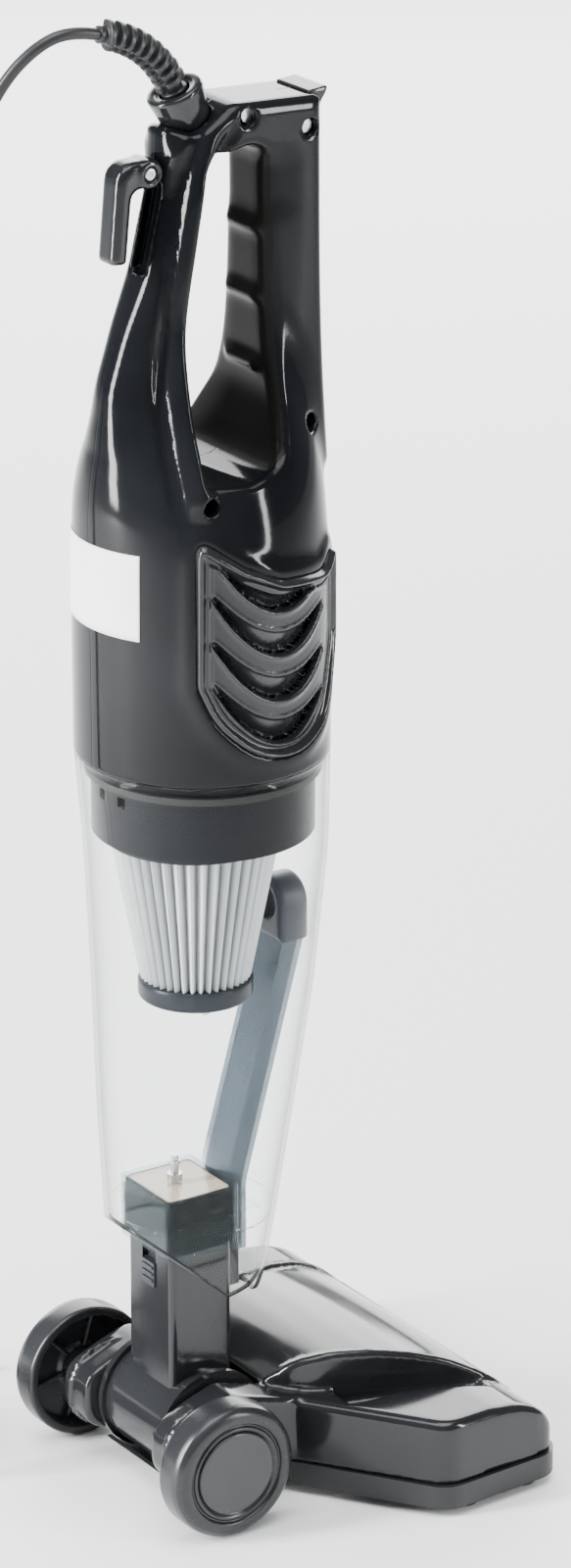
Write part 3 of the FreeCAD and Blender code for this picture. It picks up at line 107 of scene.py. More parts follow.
def make_stage():
    world = bpy.data.worlds.new("studio")
    bpy.context.scene.world = world
    world.use_nodes = True
    sky = world.node_tree.nodes["Background"]
    sky.inputs["Color"].default_value = (0.9, 0.95, 1.0, 1)
    sky.inputs["Strength"].default_value = 0.3
    area_light("top_box", (-0.3, 0.2, 2.7), (0, 0, 0.2), (2.2, 2.2), 50)
    area_light("back_panel", (2.2, -1.45, 1.25), (0, 0, 0.2), (3.6, 1.9), 170)
    area_light("left_strip", (0.5, 2.0, 1.0), (0, 0.05, 0.4), (0.4, 1.7), 165)
    area_light("right_strip", (-1.95, -1.25, 1.0), (0, 0.05, 0.35), (0.16, 1.6), 40)
    sun_light("sky_patch", (-12, -10, 0), 2.2, 50)
    mesh = bpy.data.meshes.new("floor")
    s = FLOOR_HALF
    mesh.from_pydata([(-s, -s, 0), (s, -s, 0), (s, s, 0), (-s, s, 0)], [], [(0, 1, 2, 3)])
    floor = add_object("floor", mesh)
    floor.location.z = -FLOOR_DROP
    mat = bpy.data.materials.new("floor")
    mat.use_nodes = True
    shader = mat.node_tree.nodes["Principled BSDF"]
    shader.inputs["Base Color"].default_value = (0.9, 0.903, 0.905, 1)
    shader.inputs["Roughness"].default_value = 0.7
    mesh.materials.append(mat)


# ------------------------------------------------------------------ materials
class Nodes:
    """A small helper for building a material's node tree."""

    def __init__(self, name):
        self.material = bpy.data.materials.new(name)
        self.material.use_nodes = True
        self.tree = self.material.node_tree
        self.shader = self.tree.nodes["Principled BSDF"]
        self.place = self.add("ShaderNodeTexCoord").outputs["Object"]

    def add(self, kind, **values):
        node = self.tree.nodes.new(kind)
        for key, value in values.items():
            if hasattr(node, key):
                setattr(node, key, value)
            else:
                node.inputs[key.replace("_", " ")].default_value = value
        return node

    def link(self, a, b):
        self.tree.links.new(a, b)

    def set(self, **values):
        for key, value in values.items():
            self.shader.inputs[key.replace("_", " ")].default_value = value

    def noise(self, scale, detail=4.0, rough=0.55, stretch=None):
        node = self.add("ShaderNodeTexNoise", Scale=scale, Detail=detail, Roughness=rough)
        place = self.place
        if stretch:
            mapping = self.add("ShaderNodeMapping")
            mapping.inputs["Scale"].default_value = stretch
            self.link(self.place, mapping.inputs["Vector"])
            place = mapping.outputs["Vector"]
        self.link(place, node.inputs["Vector"])
        return node.outputs["Fac"]

    def ramp(self, source, low, high, a, b):
        """A value that runs from a to b as source runs from low to high."""
        node = self.add("ShaderNodeMapRange")
        node.clamp = True
        self.link(source, node.inputs["Value"])
        for key, value in (("From Min", low), ("From Max", high), ("To Min", a), ("To Max", b)):
            node.inputs[key].default_value = value
        return node.outputs["Result"]

    def mix(self, factor, a, b):
        node = self.add("ShaderNodeMix")
        node.data_type = "RGBA"
        self.link(factor, node.inputs["Factor"])
        for key, value in ((6, a), (7, b)):
            if hasattr(value, "links"):
                self.link(value, node.inputs[key])
            else:
                node.inputs[key].default_value = (*value, 1)
        return node.outputs[2]

    def math(self, operation, a, b=0.0, c=None):
        node = self.add("ShaderNodeMath", operation=operation)
        for k, value in enumerate((a, b) if c is None else (a, b, c)):
            if hasattr(value, "links"):
                self.link(value, node.inputs[k])
            else:
                node.inputs[k].default_value = value
        return node.outputs[0]

    def axis(self, name):
        split = self.add("ShaderNodeSeparateXYZ")
        self.link(self.place, split.inputs[0])
        return split.outputs[name]

    def colour(self, source):
        self.link(source, self.shader.inputs["Base Color"])

    def rough(self, source):
        self.link(source, self.shader.inputs["Roughness"])

    def bump(self, source, strength, distance):
        node = self.add("ShaderNodeBump", Strength=strength, Distance=distance)
        self.link(source, node.inputs["Height"])
        self.link(node.outputs["Normal"], self.shader.inputs["Normal"])


def plastic(name, base, gloss=0.12, spread=0.1, seam=False, grain=0.0, shine=0.4):
    """Moulded plastic: flow marks in the colour, uneven gloss, fine dust and an orange-peel surface."""
    m = Nodes(name)
    pale = [min(1.0, c * 1.5 + 0.006) for c in base]
    flow = m.noise(9.0, 3.0)
    dust = m.noise(240.0, 6.0, 0.7)
    m.colour(m.mix(m.ramp(flow, 0.35, 0.7, 0.0, 1.0), base, pale))
    smear = m.ramp(m.noise(28.0, 5.0, 0.6), 0.3, 0.75, gloss, gloss + spread)
    m.rough(m.math("ADD", smear, m.ramp(dust, 0.62, 0.78, 0.0, 0.12)))
    scale, depth = (1500.0, 3.0) if grain else (420.0, 1.0)
    height = m.math("MULTIPLY", m.noise(scale, 2.0), depth)
    if seam:
        # the joint between the two shells, at x = 0
        off = m.math("ABSOLUTE", m.axis("X"))
        height = m.math("ADD", height, m.ramp(off, 0.0001, 0.0005, -14.0, 0.0))
    m.bump(height, 0.12 + grain, 0.00008)
    m.set(IOR=1.5, Specular_IOR_Level=shine)
    return m.material


def metal(name, base, roughness=0.25):
    """Brushed metal."""
    m = Nodes(name)
    lines = m.noise(60.0, 3.0, 0.6, (1, 1, 30))
    m.colour(m.mix(lines, [c * 0.8 for c in base], base))
    m.rough(m.ramp(lines, 0.3, 0.7, roughness, roughness + 0.15))
    m.bump(m.noise(900.0, 2.0), 0.08, 0.00005)
    m.set(Metallic=1.0)
    return m.material


def clear(name, base, low, high, power, roughness=0.03, tint=(0.99, 0.995, 0.993), foot=None):
    """A clear moulding: nearly invisible face on, denser where it is seen edge on, with a mirror's shine on top.

    Below the height foot, and behind y = 0.022, its body fades out so that what it stands on shows through.
    """
    m = Nodes(name)
    facing = m.add("ShaderNodeLayerWeight")
    facing.inputs["Blend"].default_value = 0.5
    edge = m.math("POWER", facing.outputs["Facing"], power)
    haze = m.ramp(m.noise(14.0, 4.0), 0.5, 0.75, 0.0, 0.006)
    share = m.math("ADD", m.ramp(edge, 0.0, 1.0, low, high), haze)
    if foot:
        above = m.math("MAXIMUM", m.ramp(m.axis("Z"), foot, foot + 0.008, 0.0, 1.0),
                       m.ramp(m.axis("Y"), 0.022, 0.028, 1.0, 0.0))
        share = m.math("MULTIPLY", share, m.ramp(above, 0.0, 1.0, 0.04, 1.0))
    m.colour(m.mix(m.ramp(m.noise(6.0), 0.3, 0.7, 0.0, 1.0), base, [c * 0.9 for c in base]))
    m.rough(m.ramp(m.noise(40.0, 5.0), 0.4, 0.75, 0.25, 0.35))
    m.set(IOR=1.5)
    through = m.add("ShaderNodeBsdfTransparent")
    through.inputs["Color"].default_value = (*tint, 1)
    if foot:
        m.link(m.mix(above, (0.98, 0.985, 0.985), tint), through.inputs["Color"])
    body = m.add("ShaderNodeMixShader")
    m.link(share, body.inputs[0])
    m.link(through.outputs[0], body.inputs[1])
    m.link(m.shader.outputs[0], body.inputs[2])
    mirror = m.add("ShaderNodeBsdfGlossy")
    mirror.inputs["Roughness"].default_value = roughness
    wave = m.add("ShaderNodeBump", Strength=0.06, Distance=0.0006)
    m.link(m.noise(22.0, 2.0), wave.inputs["Height"])
    m.link(wave.outputs["Normal"], mirror.inputs["Normal"])
    m.link(wave.outputs["Normal"], m.shader.inputs["Normal"])
    glance = m.math("POWER", facing.outputs["Facing"], 5.0)
    final = m.add("ShaderNodeMixShader")
    m.link(m.ramp(glance, 0.0, 1.0, 0.004, 0.8), final.inputs[0])
    m.link(body.outputs[0], final.inputs[1])
    m.link(mirror.outputs[0], final.inputs[2])
    m.link(final.outputs[0], m.tree.nodes["Material Output"].inputs["Surface"])
    return m.material


def fibrous(name, base, scale=900.0, stretch=(1, 1, 0.05), gloss=0.85, pleats=0):
    """Paper or felt. With pleats, painted shade darkens that many valleys round the filter's axis, where the folds
    would shade each other.
    """
    m = Nodes(name)
    fibre = m.noise(scale, 3.0, 0.6, stretch)
    cloud = m.noise(35.0, 4.0)
    tone = m.mix(m.ramp(cloud, 0.35, 0.7, 0.0, 1.0), base, [c * 0.9 for c in base])
    if pleats:
        # painted shade: the colour falls to 0.3 of the paper's own in each pleat valley
        turn = m.math("ARCTAN2", m.math("SUBTRACT", m.axis("Y"), (AXLE_Y - FILTER_F) / 1000), m.axis("X"))
        valley_shade = m.math("COSINE", m.math("MULTIPLY", turn, float(pleats)))
        tone = m.mix(m.ramp(valley_shade, -1.0, 0.6, 0.0, 1.0), [c * 0.3 for c in base], tone)
    m.colour(tone)
    m.rough(m.ramp(fibre, 0.2, 0.8, gloss - 0.1, gloss + 0.1))
    m.bump(fibre, 0.5, 0.0003)
    return m.material


# ------------------------------------------------------------------ mesh tools
def new_object(name, verts, faces, material):
    mesh = bpy.data.meshes.new(name)
    mesh.from_pydata(verts, [], faces)
    mesh.validate()
    mesh.update()
    mesh.polygons.foreach_set("use_smooth", [True] * len(mesh.polygons))
    mesh.materials.append(material)
    return add_object(name, mesh)


def tube_faces(rows, count, first=0):
    """The quads between successive rings of count points, numbered from first."""
    faces = []
    for a in range(first, first + (rows - 1) * count, count):
        for k in range(count):
            m = (k + 1) % count
            faces.append((a + k, a + m, a + count + m, a + count + k))
    return faces


def end_faces(rows, count):
    """The two polygons that close a tube."""
    return [tuple(range(count))[::-1], tuple((rows - 1) * count + k for k in range(count))]


def gradient(field, points, h=0.05):
    """The field's slope at each point, by central differences."""
    g = np.empty_like(points)
    for k in range(3):
        step = np.zeros(3)
        step[k] = h
        g[:, k] = (field(points + step) - field(points - step)) / (2 * h)
    return g


def moulding(name, field, low, high, step, material):
    """A closed quad mesh of the surface where field(x, f, z) is zero, drawn onto the exact surface."""
    axes = [np.arange(a, b + step, step) for a, b in zip(low, high)]
    shape = tuple(len(a) for a in axes)
    grid = np.stack(np.meshgrid(*axes, indexing="ij"), -1).reshape(-1, 3)
    value = np.concatenate([field(part) for part in np.array_split(grid, max(1, len(grid) // 400000))])
    value = value.reshape(shape)
    value[np.abs(value) < 1e-6] = 1e-6
    inside = value < 0
    cells = tuple(n - 1 for n in shape)

    def corner(a, i, j, k):
        return a[i : i + cells[0], j : j + cells[1], k : k + cells[2]]

    count = sum(corner(inside, i, j, k).astype(np.int8) for i in (0, 1) for j in (0, 1) for k in (0, 1))
    active = (count > 0) & (count < 8)
    number = -np.ones(cells, int)
    number[active] = np.arange(active.sum())
    where = np.argwhere(active)
    total = np.zeros((len(where), 3))
    hits = np.zeros(len(where))
    for axis in range(3):
        others = [k for k in range(3) if k != axis]
        for p in (0, 1):
            for q in (0, 1):
                start = where.copy()
                start[:, others[0]] += p
                start[:, others[1]] += q
                end = start.copy()
                end[:, axis] += 1
                a = value[tuple(start.T)]
                b = value[tuple(end.T)]
                cross = (a < 0) != (b < 0)
                t = np.where(cross, a / np.where(cross, a - b, 1.0), 0.0)
                point = start.astype(float)
                point[:, axis] += t
                total[cross] += point[cross]
                hits += cross
    verts = total / hits[:, None] * step + np.array(low)
    for _ in range(5):
        v = field(verts)
        g = gradient(field, verts)
        move = -(v / np.maximum((g * g).sum(1), 0.05))[:, None] * g
        length = np.linalg.norm(move, axis=1)
        verts += move * np.minimum(1.0, 0.5 * step / np.maximum(length, 1e-9))[:, None]
    faces = []
    for axis in range(3):
        u, w = [(1, 2), (2, 0), (0, 1)][axis]
        first = np.take(inside, range(shape[axis] - 1), axis)
        second = np.take(inside, range(1, shape[axis]), axis)
        edge = np.argwhere(first != second)
        ok = (edge[:, u] > 0) & (edge[:, w] > 0) & (edge[:, u] < shape[u] - 1) & (edge[:, w] < shape[w] - 1)
        edge = edge[ok]
        quad = []
        for du, dw in ((-1, -1), (0, -1), (0, 0), (-1, 0)):
            cell = edge.copy()
            cell[:, u] += du
            cell[:, w] += dw
            quad.append(number[tuple(cell.T)])
        quad = np.stack(quad, 1)
        out = first[tuple(edge.T)]
        quad[out] = quad[out][:, ::-1]
        faces.append(quad)
    faces = np.concatenate(faces)
    world = np.stack([verts[:, 0], AXLE_Y - verts[:, 1], verts[:, 2]], 1) / 1000
    return new_object(name, world.tolist(), faces.tolist(), material)


def smooth_min(a, b, k):
    h = np.clip(0.5 + 0.5 * (b - a) / k, 0, 1)
    return b * (1 - h) + a * h - k * h * (1 - h)


def smooth_max(a, b, k):
    return -smooth_min(-a, -b, k)


def smoothstep(a, b, v):
    t = np.clip((v - a) / (b - a), 0, 1)
    return t * t * (3 - 2 * t)


def curve_table(xs, ys, blur=4.0):
    """A smooth function through a few values."""
    fine = np.arange(xs[0] - 30, xs[-1] + 30, 1.0)
    raw = np.interp(fine, xs, ys)
    kernel = np.exp(-0.5 * (np.arange(-15, 16) / blur) ** 2)
    padded = np.pad(raw, 15, mode="edge")
    smooth = np.convolve(padded, kernel / kernel.sum(), mode="valid")
    return lambda v: np.interp(v, fine, smooth)


def polygon(points):
    """A function that gives the signed distance to a closed outline, negative inside."""
    pts = np.array(points, float)
    nxt = np.roll(pts, -1, axis=0)

    def distance(u, v):
        best = np.full(u.shape, 1e9)
        inside = np.zeros(u.shape, bool)
        for (ax, ay), (bx, by) in zip(pts, nxt):
            ex, ey = bx - ax, by - ay
            wx, wy = u - ax, v - ay
            t = np.clip((wx * ex + wy * ey) / (ex * ex + ey * ey + 1e-12), 0, 1)
            best = np.minimum(best, (wx - ex * t) ** 2 + (wy - ey * t) ** 2)
            if ay != by:
                level = (v >= min(ay, by)) & (v < max(ay, by))
                inside ^= level & (u < ax + (v - ay) * ex / ey)
        d = np.sqrt(best)
        return np.where(inside, -d, d)

    return distance


def table_distance(points, low, high, step=1.0):
    """The same distance read from a fine table, which is quicker for many points."""
    exact = polygon(points)
    us = np.arange(low[0], high[0] + step, step)
    vs = np.arange(low[1], high[1] + step, step)
    u, v = np.meshgrid(us, vs, indexing="ij")
    known = exact(u.ravel(), v.ravel()).reshape(u.shape)

    def distance(u, v):
        a = np.clip((u - low[0]) / step, 0, len(us) - 1.001)
        b = np.clip((v - low[1]) / step, 0, len(vs) - 1.001)
        i, j = a.astype(int), b.astype(int)
        s, t = a - i, b - j
        near = known[i, j] * (1 - s) * (1 - t) + known[i + 1, j] * s * (1 - t)
        return near + known[i, j + 1] * (1 - s) * t + known[i + 1, j + 1] * s * t

    return distance


def rounded(points, radius, steps=6):
    """A polygon whose corners are rounded by that radius (or by each point's own third number)."""
    out = []
    n = len(points)
    for i in range(n):
        p = np.array(points[i][:2], float)
        r = points[i][2] if len(points[i]) > 2 else radius
        a = np.array(points[i - 1][:2], float) - p
        b = np.array(points[(i + 1) % n][:2], float) - p
        la, lb = np.linalg.norm(a), np.linalg.norm(b)
        a, b = a / la, b / lb
        half = 0.5 * math.acos(max(-1, min(1, float(a @ b))))
        reach = min(r / math.tan(half), 0.48 * la, 0.48 * lb)
        p0, p2 = p + a * reach, p + b * reach
        for t in np.linspace(0, 1, steps):
            out.append((1 - t) ** 2 * p0 + 2 * t * (1 - t) * p + t * t * p2)
    return out


def lathe(name, profile, centre, axis, material, count=96):
    """A turned piece: profile is (distance along the axis, radius), all in millimetres."""
    axis = Vector(axis).normalized()
    side = axis.orthogonal().normalized()
    third = axis.cross(side)
    verts = []
    rows = len(profile)
    for along, radius in profile:
        for k in range(count):
            a = 2 * math.pi * k / count
            p = Vector(centre) + axis * along / 1000 + (side * math.cos(a) + third * math.sin(a)) * radius / 1000
            verts.append(p)
    open_ends = [profile[0][1] > 1e-6, profile[-1][1] > 1e-6]
    faces = tube_faces(rows, count) + [e for e, is_open in zip(end_faces(rows, count), open_ends) if is_open]
    return new_object(name, verts, faces, material)


def bend_profile(points, radius=1.0, steps=4):
    """A lathe profile with all corners but its two ends rounded."""
    out = [points[0]]
    for i in range(1, len(points) - 1):
        p, a, b = (np.array(q, float) for q in (points[i], points[i - 1], points[i + 1]))
        da, db = a - p, b - p
        reach = min(radius, 0.45 * np.linalg.norm(da), 0.45 * np.linalg.norm(db))
        p0 = p + da / np.linalg.norm(da) * reach
        p2 = p + db / np.linalg.norm(db) * reach
        for t in np.linspace(0, 1, steps):
            out.append(tuple((1 - t) ** 2 * p0 + 2 * t * (1 - t) * p + t * t * p2))
    out.append(points[-1])
    return out


make_camera()
make_stage()

BLACK = (0.0034, 0.004, 0.005)
mats = {
    "cover_black": plastic("cover_black", (0.0085, 0.0092, 0.0105), 0.11, 0.06, shine=0.42),
    "shell_black": plastic("shell_black", BLACK, 0.07, 0.05, seam=True, shine=0.17),
    "grip_black": plastic("grip_black", (0.0075, 0.0072, 0.0068), 0.16, 0.08, shine=0.07),
    "base_black": plastic("base_black", (0.011, 0.0115, 0.0125), 0.3, 0.15, grain=0.12, shine=0.4),
    "duct_inner": plastic("duct_inner", (0.03, 0.03, 0.033), 0.4, 0.15, grain=0.2),
    "foot_rubber": plastic("foot_rubber", (0.02, 0.02, 0.02), 0.6, 0.2, grain=0.4),
    "lint_felt": fibrous("lint_felt", (0.35, 0.04, 0.04), 1800.0, (1, 1, 1)),
    "steel": metal("steel", (0.6, 0.6, 0.62)),
    "wheel_black": plastic("wheel_black", (0.010, 0.0108, 0.0125), 0.24, 0.04, shine=0.4),
    "wheel_cap": plastic("wheel_cap", (0.014, 0.015, 0.0175), 0.22, 0.04, shine=0.5),
    "bush": plastic("bush", (0.6, 0.57, 0.5), 0.35, 0.15),
    "gasket": fibrous("gasket", (0.72, 0.60, 0.45), 500.0, (1, 1, 1), 0.7),
    "button_grey": plastic("button_grey", (0.02, 0.022, 0.027), 0.2, 0.1),
    "cup_clear": clear("cup_clear", (0.07, 0.09, 0.088), 0.002, 0.9, 5.0),
    "cup_edge": clear("cup_edge", (0.012, 0.016, 0.017), 0.9, 0.95, 2.0),
    "cup_low": clear("cup_low", (0.1, 0.13, 0.14), 0.03, 0.5, 3.0, tint=(0.84, 0.9, 0.92)),
    "duct_clear": clear("duct_clear", (0.05, 0.07, 0.092), 0.36, 0.9, 1.5, 0.06, tint=(0.72, 0.78, 0.82),
                        foot=0.142),
    "hood_dark": plastic("hood_dark", (0.014, 0.019, 0.027), 0.3, 0.15, shine=0.25),
    "label": plastic("label", (0.8, 0.81, 0.81), 0.4, 0.1),
    "collar_black": plastic("collar_black", (0.006, 0.0068, 0.0085), 0.3, 0.1, grain=0.05, shine=0.1),
    "seal": plastic("seal", (0.012, 0.012, 0.012), 0.6, 0.2, grain=0.3),
    "stator": metal("stator", (0.35, 0.25, 0.18), 0.4),
    # the filter's paper, with painted shade in its pleat valleys
    "filter_white": fibrous("filter_white", (0.62, 0.65, 0.66), pleats=40),
    "filter_frame": plastic("filter_frame", (0.009, 0.012, 0.017), 0.3, 0.1, shine=0.2),
    "tab_clear": clear("tab_clear", (0.55, 0.58, 0.57), 0.25, 0.8, 1.5),
    "cord_pvc": plastic("cord_pvc", (0.009, 0.0095, 0.0105), 0.3, 0.14, grain=0.05),
    "release_blue": plastic("release_blue", (0.018, 0.045, 0.12), 0.2, 0.08, shine=0.3),
    "brass": metal("brass", (0.75, 0.58, 0.28)),
}

# ------------------------------------------------------------------ cord
ROUTE = [
    (0.0, *CORD_END), (0.6, -31.5, 644.6), (3.5, -45.5, 640.2), (10.5, -58.5, 625.0),
    (20.0, -67.0, 598.0), (29.0, -70.5, 556.0), (35.5, -70.0, 497.0), (41.5, -67.0, 428.0),
    (44.5, -68.5, 352.0), (44.0, -72.5, 276.0), (46.5, -75.0, 200.0), (45.0, -78.5, 132.0),
    (46.0, -83.0, 78.0), (49.0, -93.0, 38.0), (52.5, -109.5, 12.0), (61.0, -126.0, 2.5),
    (73.0, -137.2, 2.5), (88.0, -143.4, 2.5),
]
TAIL = [(137.7, -114.4, 2.5), (140.4, -100.6, 2.5), (141.6, -86.6, 3.6), (139.6, -73.0, 7.0)]
COIL = (96.0, -100.0)  # x and f of its middle
COIL_TURNS = 23.6
COIL_FIRST, COIL_LAST = 279.0, 341.0  # the angles where the cord comes in and goes out
COIL_LAYER_TURNS = 4
COIL_STEPS = 20  # points in one turn


def coil_points():
    """The wound length: flat spirals in layers, in and out by turns, then down the outside to the floor."""
    points = []

    def place(radius, angle, z):
        points.append((COIL[0] + radius * math.cos(angle), COIL[1] + radius * math.sin(angle), z))

    first = math.radians(COIL_FIRST)
    grow = 1.0 / math.cos(math.pi / COIL_STEPS)  # the curve cuts inside its control points
    for k in range(int(COIL_TURNS * COIL_STEPS) + 1):
        turn = k / COIL_STEPS
        layer = int(min(turn, COIL_TURNS - 1e-6) // COIL_LAYER_TURNS)
        share = turn / COIL_LAYER_TURNS - layer
        radius = 38.0 - 20.0 * (share if layer % 2 == 0 else 1 - share)
        rise = layer - 1 + float(smoothstep(0.0, 0.11, np.array(share))) if layer else 0.0
        place(radius * grow, first + 2 * math.pi * turn, CORD_RADIUS + 2 * CORD_RADIUS * rise)
    last = first + 2 * math.pi * COIL_TURNS
    goal = math.radians(COIL_LAST)
    while goal < last + math.radians(120):
        goal += 2 * math.pi
    down = 11
    for k in range(1, down):
        t = k / down
        radius = (36.0 + (43.4 - 36.0) * min(1.0, t * 2.2)) * 1.005
        drop = 25.0 * (1 - float(smoothstep(0.15, 1.0, np.array(t))))
        place(radius, last + (goal - last) * t, CORD_RADIUS + drop)
    return points


def make_cord():
    data = bpy.data.curves.new("cord", "CURVE")
    data.dimensions = "3D"
    data.bevel_depth = CORD_RADIUS / 1000
    data.bevel_resolution = 5
    data.resolution_u = 8
    data.use_fill_caps = True
    spline = data.splines.new("NURBS")
    points = ROUTE + coil_points() + TAIL
    spline.points.add(len(points) - 1)
    for target, p in zip(spline.points, points):
        target.co = (*at(*p), 1.0)
    spline.order_u = 3
    spline.use_endpoint_u = True
    spline.use_smooth = True
    data.materials.append(mats["cord_pvc"])
    cord = add_object("cord_line", data)
    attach(cord, "motor_unit")
    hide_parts("power_cord", "cord_tail", "cord_coil")


make_cord()

# ------------------------------------------------------------------ motor housing with its handle loop
Z_KNOTS = [333, 385, 400, 430, 446, 460, 475, 490, 505, 520, 540, 570]
HALF_X = curve_table(Z_KNOTS, [53.9, 53.8, 52.9, 50.8, 48.2, 43.5, 36.0, 27.5, 20.8, 16.6, 13.5, 11.0], 5)
FRONT = curve_table(Z_KNOTS, [81.2, 81.2, 81.0, 80.4, 79.8, 79.0, 78.0, 77.0, 76.2, 75.6, 74.5, 73.0])
REAR = curve_table(Z_KNOTS, [-26.4, -26.6, -26.8, -27.0, -27.0, -25.5, -22.5, -17.5, -10.0, -1.0, 8.0, 16.0])

TOP_OUTLINE = rounded([(7.0, 590, 6), (34.0, 609, 10), (76.0, 607.5, 2), (76.6, 500, 0.1), (76.8, 455, 0.1),
                       (44.0, 455, 0.1), (44.0, 584, 3), (20, 582, 3)], 2)
LOOP_OUTLINE = rounded([(21.2, 587.5, 10), (48.0, 592, 8), (48.2, 560, 5), (48.0, 486, 34), (41.0, 462, 14),
                        (24.0, 458.0, 12), (4.0, 459, 4), (5.2, 482, 40), (10.5, 517, 60), (17.0, 552, 60)], 4)
BOW_Z = [440, 455, 471, 494, 518, 541, 575, 592, 604]
BOW_REAR = curve_table(BOW_Z, [-6.0, -13.0, -21.0, -20.6, -13.0, -3.5, 4.6, 5.6, 6.0])
RIM_F = curve_table(BOW_Z, [1.6, 1.6, 1.8, 4.8, 8.2, 11.8, 17.2, 22.0, 28.0])
top_distance = table_distance(TOP_OUTLINE, (-60, 420), (110, 640))
loop_distance = table_distance(LOOP_OUTLINE, (-60, 420), (110, 640))
SCREWS = [(40.0, 603.0), (70.0, 595.0), (66.0, 473.0), (5.0, 452.0)]
SCREW_RADIUS = 3.7
RIDGES = [555.0, 526.5, 498.0]  # heights of the grip's finger ridges


BODY_F, BODY_RADIUS = 27.5, 54.0


def vent_frame(P):
    """Flat coordinates of a vent: u round the body and r from the body's middle."""
    f = P[:, 1] - BODY_F
    x = np.abs(P[:, 0])
    angle = np.arctan2(f, x) - math.radians(12.5)
    return angle * BODY_RADIUS, np.hypot(x, f)


# the vent's outline, in u and z
SHIELD = rounded([(-45, 441, 5), (-24, 427, 16), (-7, 419.5, 20), (22, 416.5, 14), (37, 424, 4), (38, 385, 20),
                  (24, 352, 30), (2, 341, 40), (-20, 344, 40), (-38, 360, 40), (-45.5, 377, 12)], 6, 10)
shield_distance = table_distance(SHIELD, (-90, 300), (90, 480), 0.6)


def housing_field(P):
    x = np.abs(P[:, 0])
    f, z = P[:, 1], P[:, 2]
    front, rear, half = FRONT(z), REAR(z), HALF_X(z)
    middle, reach = (front + rear) / 2, (front - rear) / 2
    q = np.sqrt(((f - middle) / reach) ** 2 + (x / half) ** 2 + 1e-9)
    body = (q - 1) * np.minimum(reach, half)
    body = smooth_max(body, z - 562, 12)
    body = smooth_max(body, MOUTH_TOP - z, 1.2)
    top = top_distance(f, z)
    grip = smoothstep(68.0, 50.0, f) * smoothstep(462, 492, z) * smoothstep(592, 580, z)
    back, edge_f = BOW_REAR(z), RIM_F(z)
    # the bar over the handle is thinner at the grip and towards the rear arm
    slim = 5.5 * smoothstep(edge_f + 12.0, edge_f + 4.0, f) * smoothstep(604.0, 588.0, z)
    bar = smooth_max(top, x - (17.5 - 2.4 * grip - slim), 5.0)
    # the rounded rear arm
    mid, wide = (back + edge_f + 4.0) / 2, (edge_f + 4.0 - back) / 2
    thick = 14.2 + 2.0 * smoothstep(530, 470, z)
    lobe = (np.sqrt(((f - mid) / wide) ** 2 + (x / thick) ** 2 + 1e-9) - 1) * np.minimum(wide, thick)
    lobe = smooth_max(lobe, np.maximum((z - 603.0) + 0.35 * (f - 4.0), 447.0 - z), 5.0)
    slot = smooth_max(smooth_max(x - 5.4, f - back - 5.5, 1.5), np.abs(z - 560.0) - 19.0, 3.0)
    lobe = smooth_max(lobe, -slot, 1.2)
    solid = smooth_min(body, bar, 9.0)
    solid = smooth_min(solid, lobe, 5.0)
    # the raised rim along the opening's rear edge, with a groove behind it
    along = (f - edge_f) / 1.06
    length = smoothstep(444.0, 456.0, z) * smoothstep(606.0, 590.0, z) * smoothstep(2.0, 7.0, x)
    # 1.5707 is just under a quarter turn, so that the power is never taken of a negative number
    rim = 4.0 * np.cos(np.clip(along / 5.8, -1, 1) * 1.5707) ** 0.8
    groove = 1.0 * np.exp(-((along + 8.0) / 2.2) ** 2)
    solid = solid - length * (rim - groove)
    # the opening, with finger ridges on the grip
    edge = loop_distance(f, z)
    ridge = sum(np.exp(-((z - c) / 3.0) ** 2) for c in RIDGES)
    ridge = ridge * smoothstep(38.0, 44.0, f) * smoothstep(66.0, 54.0, f) * smoothstep(15.5, 8.0, x)
    round_over = 3.5 + 5.0 * smoothstep(30, 44, f) * smoothstep(600, 580, z)
    solid = smooth_max(solid, -(edge + 2.3 * ridge), round_over)
    # the recess that each vent sits in, with a raised edge
    u, r = vent_frame(P)
    shield = shield_distance(u, z)
    flare = 1.5 * np.exp(-((shield - 2.0) / 4.5) ** 2) * smoothstep(330, 350, z)
    solid = solid - np.where(r > 40, flare, 0.0)
    recess = np.maximum(shield + 1.0, 49.0 - r)
    solid = smooth_max(solid, -recess, 0.8)
    for sf, sz in SCREWS:
        hole = np.hypot(f - sf, z - sz) - SCREW_RADIUS
        depth_x = 12.2 if sz > 460 else 34.0
        solid = smooth_max(solid, -np.maximum(hole, depth_x - x), 1.0)
    # the flat that the cord's gland stands on
    side, up = GLAND_WAY
    along = (f - GLAND_F) * side + (z - GLAND_Z) * up
    across = np.hypot(x, (f - GLAND_F) * up - (z - GLAND_Z) * side)
    return np.maximum(solid, -np.maximum(across - 10.5, -along))


housing = moulding("housing_shells", housing_field, (-57, -30, 330), (57, 84, 613), 1.25, mats["shell_black"])
housing.data.materials.append(mats["grip_black"])
for face in housing.data.polygons:
    # the rearward faces of the grip, inside the loop
    f, z = AXLE_Y - 1000 * face.center.y, 1000 * face.center.z
    if face.normal.y > 0.4 and 20 < f < 62 and 455 < z < 592:
        if abs(loop_distance(np.array([f]), np.array([z]))[0]) < 4.5:
            face.material_index = 1
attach(housing, "motor_unit")
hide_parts("housing_right", "housing_left")


# ------------------------------------------------------------------ vents
LOUVRES = [406.5, 387.5, 368.2, 349.8]  # the height of each blade's lowest point


